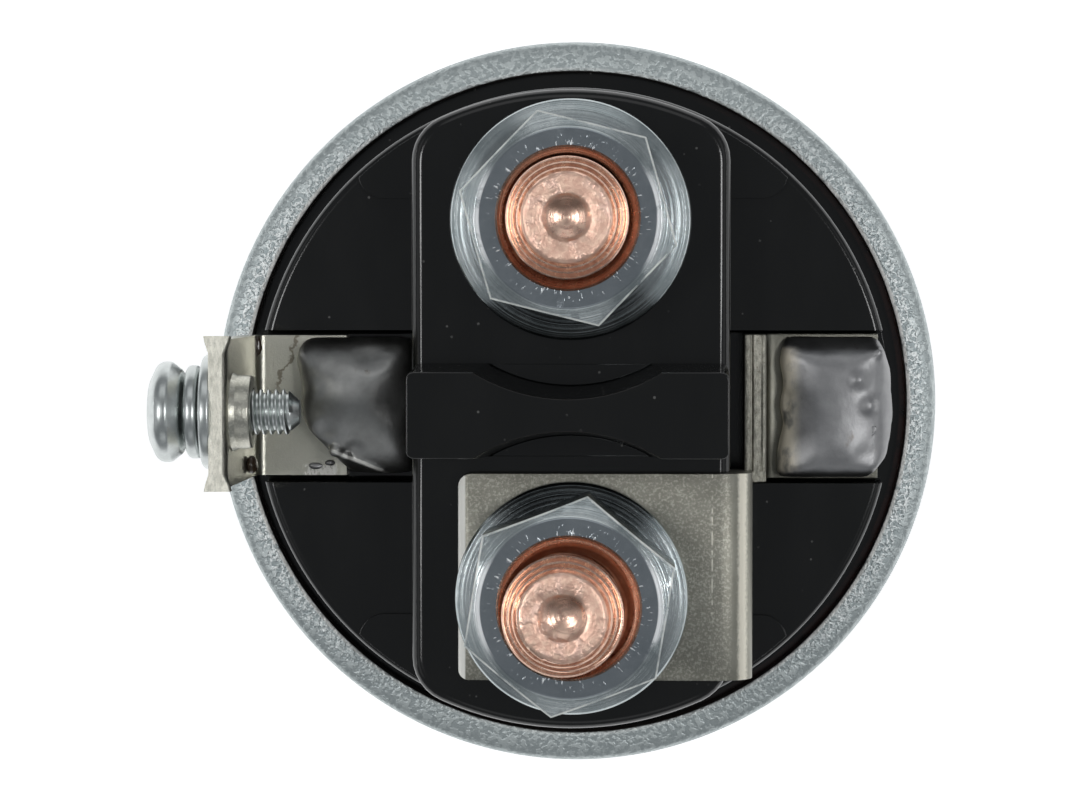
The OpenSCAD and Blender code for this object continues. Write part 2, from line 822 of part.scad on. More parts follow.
// The contact chamber and the return spring's pocket in its roof
module chamber() {
    translate([0, 0, seat_z - cut]) linear_extrude(height = roof_z - seat_z + cut)
        intersection() {
            circle(r = chamber_r);
            square([2 * chamber_half, 2 * chamber_r], center = true);
        }
    translate([0, 0, roof_z - cut]) cylinder(r = pocket_r, h = pocket_depth + cut);
}

// Keyed recess, seal seat and bore for one stud
module stud_passage() {
    translate([0, 0, roof_z - cut]) linear_extrude(height = key_depth + cut)
        head_plan(fit_gap);
    translate([0, 0, roof_z])
        cylinder(r = stud_r + seal_w + 2 * fit_gap, h = key_depth + seal_t);
    translate([0, 0, roof_z]) cylinder(r = stud_r + fit_gap, h = barrier_z - roof_z);
}

// A copper stud with its contact head, at the middle
module stud() {
    tip_z = rim_z + stud_h;
    point_r = point_d / 2;
    difference() {
        union() {
            translate([0, 0, head_z]) linear_extrude(height = head_t) head_plan();
            rotate_extrude() polygon([[0, head_z], [stud_r, head_z], [stud_r, point_z],
                [point_r, point_z], [point_r, tip_z - point_chamfer],
                [point_r - point_chamfer, tip_z], [0, tip_z]]);
        }
        translate([0, 0, tip_z - centre_d / 2]) cylinder(r1 = 0, r2 = centre_d, h = centre_d);
    }
}

module battery_stud() {
    color("#c98a68")
    translate([0, stud_y, 0]) stud();
}

module motor_stud() {
    color("#c98a68")
    translate([0, -stud_y, 0]) stud();
}

module stud_seals() {
    seal_z = roof_z + key_depth;
    color("#1d1f20")
    for (end = [-1, 1]) translate([0, end * stud_y, 0])
        tube(stud_r + seal_w + fit_gap, stud_r + fit_gap, seal_z, seal_z + seal_t);
}

// A hexagon nut with its own flange, standing on a level
module flange_nut(low, turn) {
    flange_r = nut_flange_d / 2;
    hex_r = nut_flats / 2 / cos(30);
    cone_top_r = nut_flats / 2 - nut_edge_h / 2;
    top_r = nut_top_d / 2;
    top_slope = (hex_r - top_r) / nut_chamfer_h;
    top_cone_h = nut_chamfer_h + nut_edge_h / 2;
    difference() {
        translate([0, 0, low]) union() {
            cylinder(r = flange_r, h = nut_edge_h);
            translate([0, 0, nut_edge_h])
                cylinder(r1 = flange_r, r2 = cone_top_r, h = nut_cone_h);
            intersection() {
                rotate([0, 0, turn]) cylinder(r = hex_r, h = nut_h, $fn = 6);
                union() {
                    cylinder(r = flange_r, h = nut_h - top_cone_h);
                    translate([0, 0, nut_h - top_cone_h])
                        cylinder(r1 = top_r + top_cone_h * top_slope, r2 = top_r,
                            h = top_cone_h);
                }
            }
        }
        translate([0, 0, low - cut]) cylinder(r = stud_r + fit_gap, h = nut_h + 2 * cut);
        sink_h = nut_sink_d / 2 - stud_r;
        translate([0, 0, low + nut_h - sink_h])
            cylinder(r1 = stud_r, r2 = nut_sink_d / 2 + sink_h, h = 2 * sink_h);
    }
}

module battery_nut() {
    color("#b9c1c4")
    translate([0, stud_y, 0]) flange_nut(plateau_z, battery_nut_turn);
}

module motor_nut() {
    color("#b9c1c4")
    translate([0, -stud_y, 0]) flange_nut(bus_z, motor_nut_turn);
}

// Terminals

module bus_plate() {
    flange_x = plateau_half + 2 * fit_gap;
    edge_x = flange_x + bus_t;
    back_y = bus_overlap - strip_w / 2;
    front_y = -stud_y - bus_front;
    tab_x = crown_r - tab_inset;
    strip_x = edge_x + bus_step;
    strip_top_z = rim_z + strip_z;
    flange_low_z = wing_z + pad_h + fit_gap;
    color("#8d8a7b")
    difference() {
        union() {
            intersection() {
                upright(front_y, back_y)
                    translate([-bus_reach, bus_z])
                        angle_section(bus_reach + edge_x, bus_z - flange_low_z, bus_t, bus_bend);
                translate([edge_x, (front_y + back_y) / 2, flange_low_z - cut])
                    linear_extrude(height = bus_z - flange_low_z + 2 * cut)
                        round_rect(2 * (edge_x + bus_reach), back_y - front_y, bus_corner);
            }
            // The step that carries the strip beyond the flange
            translate([flange_x, -strip_w / 2, flange_low_z])
                cube([bus_t + bus_step, back_y + strip_w / 2, strip_top_z - flange_low_z]);
            // The strip in the channel and the tab that turns outwards under the solder
            upright(-strip_w / 2, strip_w / 2)
                translate([tab_x, floor_z + fit_gap]) rotate([0, 0, 180])
                    angle_section(tab_x - strip_x + bus_t, strip_top_z - floor_z - fit_gap,
                        bus_t, bus_bend);
        }
        translate([0, -stud_y, plateau_z - cut])
            cylinder(r = stud_r + 2 * fit_gap, h = bus_t + 2 * cut);
        lead_passage(1, floor_z - cut, tab_top_z + cut);
    }
}

// A mound with sloping sides, from a low level to a high one
module mound(x_low, x_high, w, low, high, slope) {
    x_mid = (x_low + x_high) / 2;
    length = x_high - x_low;
    foot_h = (high - low) / 2;
    hull() {
        translate([x_mid, 0, low]) linear_extrude(height = foot_h)
            round_rect(length, w, slope / 2, $fn = hull_facets);
        translate([x_mid, 0, low]) linear_extrude(height = high - low)
            round_rect(length - 2 * slope, w - 2 * slope, slope, $fn = hull_facets);
    }
}

module motor_solder() {
    strip_x = plateau_half + 2 * fit_gap + bus_t + bus_step;
    color("#7f8284")
    mound(strip_x + bus_bend + fit_gap, crown_r - 2 * fit_gap, solder_w,
        tab_top_z + 2 * fit_gap, rim_z + motor_solder_h, solder_slope);
}

module trigger_solder() {
    inner_x = -plateau_half - free_gap;
    base_end_x = bracket_base - bracket_out_x;
    color("#7f8284") {
        mound(trigger_solder_inset - crown_r, inner_x, solder_w, base_top_z + fit_gap,
            rim_z + trigger_solder_h, solder_slope);
        translate([base_end_x + fit_gap, -solder_w / 2, floor_z])
            cube([inner_x - base_end_x - fit_gap, solder_w, bracket_t + 2 * fit_gap]);
    }
}

// Turns a piece that stands on the plane z = 0 towards the left side, at the screw's height
module on_screw_axis(x) {
    translate([-x, 0, screw_axis_z]) rotate([0, -90, 0]) children();
}

module trigger_bracket() {
    color("#8d8a7b")
    difference() {
        union() {
            upright(-bracket_w / 2, bracket_w / 2)
                translate([bracket_base - bracket_out_x, floor_z]) rotate([0, 0, 180])
                    angle_section(bracket_base, rim_z + bracket_h - floor_z, bracket_t,
                        bracket_bend);
            on_screw_axis(bracket_x - collar_len)
                cylinder(r = collar_d / 2, h = collar_len + bracket_t / 2);
        }
        on_screw_axis(bracket_x - collar_len - cut)
            cylinder(r = screw_d / 2 + fit_gap, h = collar_len + bracket_t + 2 * cut);
        lead_passage(-1, floor_z - cut, base_top_z + cut);
    }
}

module plain_washer() {
    color("#b9c1c4")
    on_screw_axis(bracket_out_x)
        tube(plain_washer_d / 2, screw_d / 2 + 2 * fit_gap, 0, plain_washer_t);
}

module spring_washer() {
    split_w = spring_washer_t / 2;
    color("#aab2b5")
    on_screw_axis(washer_x) difference() {
        tube(spring_washer_d / 2, screw_d / 2 + 2 * fit_gap, 0, spring_washer_t);
        translate([0, -split_w / 2, -cut])
            cube([spring_washer_d, split_w, spring_washer_t + 2 * cut]);
    }
}

module trigger_screw() {
    pan_r = screw_head_d / 2;
    dome_h = screw_head_h * dome_share;
    tip_chamfer = screw_d * tip_share;
    recess_l = screw_head_d * recess_length_share;
    recess_w = screw_head_d * recess_width_share;
    recess_h = screw_head_h * recess_depth_share;
    color("#b9c1c4")
    on_screw_axis(head_x) difference() {
        union() {
            rotate_extrude() {
                square([pan_r, screw_head_h - dome_h]);
                square([pan_r - dome_h, screw_head_h]);
                intersection() {
                    translate([pan_r - dome_h, screw_head_h - dome_h]) circle(r = dome_h);
                    square([pan_r, screw_head_h]);
                }
            }
            translate([0, 0, tip_chamfer - screw_len])
                cylinder(r = screw_d / 2, h = screw_len);
            translate([0, 0, -screw_len])
                cylinder(r1 = screw_d / 2 - tip_chamfer, r2 = screw_d / 2, h = tip_chamfer);
        }
        for (turn = [0, 90]) rotate([0, 0, turn])
            translate([-recess_l / 2, -recess_w / 2, screw_head_h - recess_h])
                cube([recess_l, recess_w, recess_h + cut]);
    }
}

echo(plunger_spring_gap = spring_gap(plunger_spring_d, plunger_wire_d, bore_floor_z, pole_z,
    plunger_spring_turns));
echo(pressure_spring_gap = spring_gap(pressure_spring_d, pressure_wire_d, pressure_z,
    lower_insulator_z, pressure_spring_turns));
echo(return_spring_gap = spring_gap(return_spring_d, return_wire_d, return_z, pocket_roof_z,
    return_spring_turns));

housing_can();
mounting_plate();
coil_cushion();
coil_bobbin();
guide_sleeve();
pull_in_winding();
hold_in_winding();
winding_wrap();
motor_lead();
trigger_lead();
fixed_core();
plunger();
lever_eye();
plunger_spring();
contact_rod();
pressure_spring();
lower_insulator();
upper_insulator();
contact_disc();
retaining_clip();
return_spring();
cap_gasket();
terminal_cap();
battery_stud();
motor_stud();
stud_seals();
battery_nut();
motor_nut();
bus_plate();
motor_solder();
trigger_bracket();
trigger_solder();
trigger_screw();
spring_washer();
plain_washer();
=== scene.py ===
"""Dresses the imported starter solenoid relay: blasted can, moulded cap, copper studs and tinned terminals.

Every piece is modelled in millimetres on one bench, brought to metres and handed to its body.
"""

import logging
import math
from contextlib import contextmanager
from dataclasses import dataclass
from enum import Enum
from typing import Callable, Iterator, Sequence

import bmesh
import bpy
from mathutils import Matrix, Vector


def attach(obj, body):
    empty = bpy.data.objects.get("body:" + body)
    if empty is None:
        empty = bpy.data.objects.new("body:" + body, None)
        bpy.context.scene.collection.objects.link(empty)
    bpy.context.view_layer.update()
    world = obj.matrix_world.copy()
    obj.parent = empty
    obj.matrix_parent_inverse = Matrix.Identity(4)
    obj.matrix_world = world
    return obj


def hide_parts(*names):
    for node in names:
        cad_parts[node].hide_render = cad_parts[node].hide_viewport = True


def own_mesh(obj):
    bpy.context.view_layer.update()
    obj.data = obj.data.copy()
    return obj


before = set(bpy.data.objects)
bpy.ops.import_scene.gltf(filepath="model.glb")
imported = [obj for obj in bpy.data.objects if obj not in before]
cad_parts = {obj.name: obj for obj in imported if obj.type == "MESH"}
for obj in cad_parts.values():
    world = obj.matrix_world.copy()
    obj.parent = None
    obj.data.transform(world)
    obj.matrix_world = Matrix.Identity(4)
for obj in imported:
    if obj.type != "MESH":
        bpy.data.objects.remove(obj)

LOG = logging.getLogger("relay")
MM = 0.001
Point2 = tuple[float, float]
Point3 = tuple[float, float, float]
Colour = tuple[float, float, float]
Test = Callable[[Vector, Vector], bool]


class Cut(Enum):
    """How two shapes are combined."""

    TAKE = "DIFFERENCE"
    ADD = "UNION"
    KEEP = "INTERSECT"


class Pick(Enum):
    """What an edit selects."""

    VERTS = "VERT"
    EDGES = "EDGE"
    FACES = "FACE"


# Outlines


def arc(cx: float, cy: float, r: float, start: float, stop: float, steps: int = 8) -> list[Point2]:
    """Points along an arc.

    Args:
        cx, cy: the centre.
        r: the radius.
        start, stop: the angles in degrees.
        steps: how many chords it has.

    Returns:
        The points, both ends included.
    """
    turns = [math.radians(start + (stop - start) * i / steps) for i in range(steps + 1)]
    return [(cx + r * math.cos(a), cy + r * math.sin(a)) for a in turns]


def softened(corners: Sequence[tuple], steps: int = 3) -> list[Point2]:
    """Rounds the corners of an outline.

    Args:
        corners: (u, v) or (u, v, radius) for each corner, in order.
        steps: chords in each rounding.

    Returns:
        The outline's points.
    """
    made: list[Point2] = []
    count = len(corners)
    for i, corner in enumerate(corners):
        here = Vector(corner[:2])
        if len(corner) < 3:
            made.append((here.x, here.y))
            continue
        before = (Vector(corners[i - 1][:2]) - here).normalized()
        after = (Vector(corners[(i + 1) % count][:2]) - here).normalized()
        half = before.angle(after) / 2
        reach = corner[2] / math.tan(half)
        centre = here + (before + after).normalized() * (corner[2] / math.sin(half))
        first, last = here + before * reach - centre, here + after * reach - centre
        sweep = first.angle_signed(last)
        for k in range(steps + 1):
            turned = Matrix.Rotation(-sweep * k / steps, 2) @ first
            made.append((centre.x + turned.x, centre.y + turned.y))
    return made


class Bench:
    """Models meshes in millimetres with Blender's own operators."""

    def pick(self, *pieces: bpy.types.Object) -> None:
        """Selects these pieces alone.

        Args:
            pieces: the pieces; the first is made active.
        """
        bpy.ops.object.select_all(action="DESELECT")
        for piece in pieces:
            piece.select_set(True)
        bpy.context.view_layer.objects.active = pieces[0]

    def added(self) -> bpy.types.Object:
        """The primitive just added, with its place in its mesh."""
        bpy.ops.object.transform_apply(location=True, rotation=True, scale=True)
        return bpy.context.active_object

    @contextmanager
    def editing(self, piece: bpy.types.Object, everything: bool = True) -> Iterator[None]:
        """Opens a piece for editing.

        Args:
            piece: the piece.
            everything: whether all of it starts selected.
        """
        self.pick(piece)
        bpy.ops.object.mode_set(mode="EDIT")
        bpy.ops.mesh.select_mode(type=Pick.VERTS.value)
        bpy.ops.mesh.select_all(action="SELECT" if everything else "DESELECT")
        yield
        bpy.ops.object.mode_set(mode="OBJECT")

    def choose(self, piece: bpy.types.Object, kind: Pick, test: Test) -> int:
        """Selects elements of the piece being edited by their place.

        Args:
            piece: the piece, in edit mode.
            kind: vertices, edges or faces.
            test: takes the middle of an element and its normal, or an edge's direction.

        Returns:
            How many were selected.
        """
        bpy.ops.mesh.select_mode(type=kind.value)
        bpy.ops.mesh.select_all(action="DESELECT")
        mesh = bmesh.from_edit_mesh(piece.data)
        found = 0
        if kind is Pick.VERTS:
            rows = [(v, v.co, v.normal) for v in mesh.verts]
        elif kind is Pick.EDGES:
            ends = [(e, e.verts[0].co, e.verts[1].co) for e in mesh.edges]
            rows = [(e, (a + b) / 2, (b - a).normalized()) for e, a, b in ends]
        else:
            rows = [(f, f.calc_center_median(), f.normal) for f in mesh.faces]
        for element, middle, normal in rows:
            if test(middle, normal):
                element.select_set(True)
                found += 1
        mesh.select_flush_mode()
        bmesh.update_edit_mesh(piece.data)
        return found

    def wire(self, points: Sequence[Point3], closed: bool) -> bpy.types.Object:
        """Draws a chain of edges by extruding one vertex along it.

        Args:
            points: the chain's points.
            closed: whether it ends where it starts.

        Returns:
            The chain.
        """
        bpy.ops.object.select_all(action="DESELECT")
        bpy.ops.mesh.primitive_plane_add(size=1, location=points[0])
        piece = self.added()
        chain = [*points, points[0]] if closed else list(points)
        with self.editing(piece):
            bpy.ops.mesh.merge(type="CENTER")
            for a, b in zip(chain, chain[1:]):
                bpy.ops.mesh.extrude_region_move(TRANSFORM_OT_translate={"value": Vector(b) - Vector(a)})
            bpy.ops.mesh.select_all(action="SELECT")
            bpy.ops.mesh.remove_doubles(threshold=1e-4)
        return piece

    def lathe(self, profile: Sequence[Point2], steps: int = 96, closed: bool = False) -> bpy.types.Object:
        """Turns a profile about the Z axis.

        Args:
            profile: (radius, height) points; an open one starts and ends on the axis.
            steps: segments round the axis.
            closed: whether the profile is a loop, for a ring.

        Returns:
            The turned piece.
        """
        piece = self.wire([(r, 0, z) for r, z in profile], closed)
        with self.editing(piece):
            bpy.ops.mesh.spin(steps=steps, angle=math.tau, center=(0, 0, 0), axis=(0, 0, 1))
            self.close()
        return piece

    def rod(self, r: float, low: float, high: float, steps: int = 64) -> bpy.types.Object:
        """A plain cylinder about the Z axis, to cut or trim with."""
        return self.lathe([(0, low), (r, low), (r, high), (0, high)], steps)

    def prism(self, outline: Sequence[Point3], reach: Point3) -> bpy.types.Object:
        """Fills an outline and extrudes it.

        Args:
            outline: its corners, in order.
            reach: how far and which way it is extruded.

        Returns:
            The prism.
        """
        piece = self.wire(outline, True)
        with self.editing(piece):
            bpy.ops.mesh.edge_face_add()
            bpy.ops.mesh.extrude_region_move(TRANSFORM_OT_translate={"value": reach})
            self.close()
        return piece

    def plan(self, outline: Sequence[Point2], low: float, high: float) -> bpy.types.Object:
        """Extrudes an outline seen from above between two heights."""
        return self.prism([(x, y, low) for x, y in outline], (0, 0, high - low))

    def side(self, outline: Sequence[Point2], front: float, back: float) -> bpy.types.Object:
        """Extrudes an outline drawn in X and Z along Y."""
        return self.prism([(x, front, z) for x, z in outline], (0, back - front, 0))

    def block(self, low: Point3, high: Point3) -> bpy.types.Object:
        """A box, as a start for further shaping.

        Args:
            low, high: two opposite corners.

        Returns:
            The box.
        """
        bpy.ops.object.select_all(action="DESELECT")
        middle = [(a + b) / 2 for a, b in zip(low, high)]
        bpy.ops.mesh.primitive_cube_add(size=1, location=middle, scale=[b - a for a, b in zip(low, high)])
        return self.added()

    def close(self) -> None:
        """Merges doubles and turns the faces outwards, in edit mode."""
        bpy.ops.mesh.select_all(action="SELECT")
        bpy.ops.mesh.remove_doubles(threshold=1e-4)
        bpy.ops.mesh.normals_make_consistent(inside=False)

    def modify(self, piece: bpy.types.Object, kind: str, **settings: object) -> None:
        """Adds a modifier and applies it.

        Args:
            piece: the piece.
            kind: the modifier's type.
            settings: its settings.
        """
        self.pick(piece)
        modifier = piece.modifiers.new("work", kind)
        for name, value in settings.items():
            setattr(modifier, name, value)
        bpy.ops.object.modifier_apply(modifier=modifier.name)

    def combine(self, piece: bpy.types.Object, how: Cut, *others: bpy.types.Object) -> bpy.types.Object:
        """Cuts, adds or intersects other shapes.

        Args:
            piece: the piece.
            how: how the shapes are combined.
            others: the other shapes, which are used up.

        Returns:
            The same piece.
        """
        for other in others:
            self.modify(piece, "BOOLEAN", operation=how.value, solver="EXACT", object=other)
            bpy.data.objects.remove(other, do_unlink=True)
        return piece

    def join(self, piece: bpy.types.Object, *others: bpy.types.Object) -> bpy.types.Object:
        """Makes shapes one object without cutting them.

        Args:
            piece: the piece that stays.
            others: the shapes that it takes in.

        Returns:
            The same piece.
        """
        self.pick(piece, *others)
        bpy.ops.object.join()
        return piece

    def soften(self, piece: bpy.types.Object, width: float, segments: int = 2, angle: float = 30) -> None:
        """Rounds every edge sharper than an angle."""
        self.modify(
            piece, "BEVEL", width=width, segments=segments, limit_method="ANGLE",
            angle_limit=math.radians(angle), use_clamp_overlap=True, miter_outer="MITER_ARC",
        )

    def round_edges(self, piece: bpy.types.Object, width: float, segments: int, test: Test) -> None:
        """Bevels some of a piece's edges.

        Args:
            piece: the piece.
            width: width of the bevel.
            segments: how many faces it has.
            test: finds the edges by their middle and direction.
        """
        with self.editing(piece, False):
            if self.choose(piece, Pick.EDGES, test):
                bpy.ops.mesh.bevel(offset=width, segments=segments, affect="EDGES", clamp_overlap=True)

    def taper(self, piece: bpy.types.Object, side: int, factors: Point3) -> None:
        """Resizes the face that looks up or down.

        Args:
            piece: the piece.
            side: 1 for the upper face, -1 for the lower one.
            factors: a factor for each axis.
        """
        with self.editing(piece, False):
            self.choose(piece, Pick.FACES, lambda p, n: n.z * side > 0.9)
            bpy.ops.transform.resize(value=factors)

    def pull(self, piece: bpy.types.Object, place: Point3, move: Point3, reach: float) -> None:
        """Pulls the vertex nearest a place, with its neighbours following softly.

        Args:
            piece: the piece.
            place: a point near the vertex.
            move: how far it moves.
            reach: how far its pull is felt.
        """
        at = Vector(place)
        nearest = min(piece.data.vertices, key=lambda v: (v.co - at).length).co.copy()
        with self.editing(piece, False):
            self.choose(piece, Pick.VERTS, lambda p, n: (p - nearest).length < 1e-5)
            bpy.ops.transform.translate(
                value=move, use_proportional_edit=True, proportional_edit_falloff="SMOOTH",
                proportional_size=reach, use_proportional_connected=False,
            )

    def shape(
        self, piece: bpy.types.Object, move: Point3 = (0, 0, 0), turn: float = 0, axis: str = "Z",
        scale: Point3 = (1, 1, 1),
    ) -> bpy.types.Object:
        """Scales a piece, turns it about the origin and moves it, in its mesh.

        Args:
            piece: the piece.
            move: the move in millimetres, after the turn.
            turn: the turn in degrees.
            axis: the axis of the turn.
            scale: a factor for each axis.

        Returns:
            The same piece.
        """
        self.pick(piece)
        turned = Matrix.Translation(move) @ Matrix.Rotation(math.radians(turn), 4, axis)
        piece.matrix_world = turned @ Matrix.Diagonal((*scale, 1))
        bpy.ops.object.transform_apply(location=True, rotation=True, scale=True)
        return piece

    def copy(self, piece: bpy.types.Object) -> bpy.types.Object:
        """Copies a piece with its mesh.

        Args:
            piece: the piece.

        Returns:
            The copy.
        """
        made = piece.copy()
        made.data = piece.data.copy()
        bpy.context.scene.collection.objects.link(made)
        return made

    def coil(
        self, section: Sequence[Point2], pitch: float, turns: float, start: float, steps: int = 32
    ) -> bpy.types.Object:
        """Winds a section in X and Z about the Z axis, with closed ends.

        Args:
            section: (radius, height) points of the closed section.
            pitch: rise of one turn.
            turns: how many turns.
            start: height of the first section.
            steps: segments in one turn.

        Returns:
            The wound piece.
        """
        piece = self.wire([(r, 0, start + z) for r, z in section], True)
        count = round(steps * turns)
        self.modify(
            piece, "SCREW", axis="Z", angle=math.tau * turns, screw_offset=pitch * turns, iterations=1,
            steps=count, render_steps=count, use_merge_vertices=False, use_smooth_shade=True,
        )
        with self.editing(piece):
            bpy.ops.mesh.fill_holes(sides=0)
            self.close()
        return piece

    def roughen(self, piece: bpy.types.Object, size: float, depth: float, group: str = "") -> None:
        """Moves the surface in and out a little with soft clouds.

        Args:
            piece: the piece.
            size: size of a cloud in millimetres.
            depth: the most that the surface moves.
            group: the vertex group it is kept to, or none.
        """
        clouds = bpy.data.textures.new("clouds", "CLOUDS")
        clouds.noise_scale = size
        clouds.noise_depth = 2
        self.modify(
            piece, "DISPLACE", texture=clouds, strength=depth, mid_level=0.5, texture_coords="LOCAL",
            vertex_group=group,
        )
        bpy.data.textures.remove(clouds)

    def flow(self, piece: bpy.types.Object, voxel: float, rounds: int) -> None:
        """Lets a rough shape run soft: rebuilt from cells of a size, then smoothed some rounds."""
        self.modify(piece, "REMESH", mode="VOXEL", voxel_size=voxel, use_smooth_shade=True)
        self.modify(piece, "SMOOTH", factor=0.5, iterations=rounds)

    def height(self, piece: bpy.types.Object, x: float, y: float) -> float:
        """How high a piece's surface stands at a place seen from above.

        Args:
            piece: the piece.
            x, y: the place.

        Returns:
            The height, or 0 beside the piece.
        """
        piece.data.update()
        hit, place, _, _ = piece.ray_cast(Vector((x, y, 500.0)), Vector((0, 0, -1)))
        return place.z if hit else 0.0

    def slice(self, piece: bpy.types.Object, places: Sequence[Point3], normal: Point3) -> None:
        """Adds a loop of edges where each plane crosses the piece.

        Args:
            piece: the piece.
            places: a point on each plane.
            normal: the planes' normal.
        """
        for place in places:
            with self.editing(piece):
                bpy.ops.mesh.bisect(plane_co=place, plane_no=normal)

    def group(self, piece: bpy.types.Object, name: str, inside: Callable[[Vector], bool]) -> None:
        """Makes a vertex group.

        Args:
            piece: the piece.
            name: the group's name.
            inside: says by its place whether a vertex has full weight or none.
        """
        made = piece.vertex_groups.new(name=name)
        for vertex in piece.data.vertices:
            made.add([vertex.index], 1.0 if inside(vertex.co) else 0.0, "REPLACE")

    def finish(
        self, piece: bpy.types.Object, name: str, body: str, finish: "Finish", nodes: Sequence[str],
        angle: float = 35,
    ) -> bpy.types.Object:
        """Brings a piece to metres, dresses it and hands it to its body.

        Args:
            piece: the piece, in millimetres.
            name: its name.
            body: the CAD body that it rides on.
            finish: its finish.
            nodes: the CAD nodes that it stands for.
            angle: edges sharper than this stay sharp in the shading.

        Returns:
            The finished piece.
        """
        self.shape(piece, scale=(MM, MM, MM))
        self.pick(piece)
        bpy.ops.object.shade_smooth_by_angle(angle=math.radians(angle))
        piece.vertex_groups.clear()
        piece.name = piece.data.name = name
        piece.data.materials.clear()
        piece.data.materials.append(finish.material())
        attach(piece, body)
        if nodes:
            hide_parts(*nodes)
        LOG.info("%s: %d faces on %s", name, len(piece.data.polygons), body)
        return piece


# Finishes


class Expr:
    """A number socket that takes part in Python arithmetic."""

    def __init__(self, tree: "Tree", socket: bpy.types.NodeSocket) -> None:
        """Holds a socket and the tree that it belongs to."""
        self.tree, self.socket = tree, socket

    def __add__(self, other: object) -> "Expr":
        """The sum, from either side."""
        return self.tree.math("ADD", self, other)

    __radd__ = __add__

    def __sub__(self, other: object) -> "Expr":
        """This less the other."""
        return self.tree.math("SUBTRACT", self, other)

    def __rsub__(self, other: object) -> "Expr":
        """The other less this."""
        return self.tree.math("SUBTRACT", other, self)

    def __mul__(self, other: object) -> "Expr":
        """The product, from either side."""
        return self.tree.math("MULTIPLY", self, other)

    __rmul__ = __mul__

    def __truediv__(self, other: object) -> "Expr":
        """This over the other."""
        return self.tree.math("DIVIDE", self, other)

    def __rtruediv__(self, other: object) -> "Expr":
        """The other over this."""
        return self.tree.math("DIVIDE", other, self)

    def __pow__(self, other: object) -> "Expr":
        """This to a power."""
        return self.tree.math("POWER", self, other)

    def __abs__(self) -> "Expr":
        """This without its sign."""
        return self.tree.math("ABSOLUTE", self)

    def over(self, low: float, high: float) -> "Expr":
        """Goes smoothly from 0 to 1 as the value rises.

        Args:
            low, high: the values where it leaves 0 and where it reaches 1.

        Returns:
            The smooth step.
        """
        inputs = {0: self, 1: low, 2: high, 3: 0.0, 4: 1.0}
        node = self.tree.add("ShaderNodeMapRange", {"interpolation_type": "SMOOTHSTEP"}, inputs)
        return Expr(self.tree, node.outputs[0])

    def under(self, low: float, high: float) -> "Expr":
        """Goes smoothly from 1 to 0 as the value goes from low to high."""
        return 1 - self.over(low, high)

    def between(self, low: float, full: float, fade: float, high: float) -> "Expr":
        """Is 1 from full to fade, and 0 beyond low and high."""
        return self.over(low, full) * self.under(fade, high)


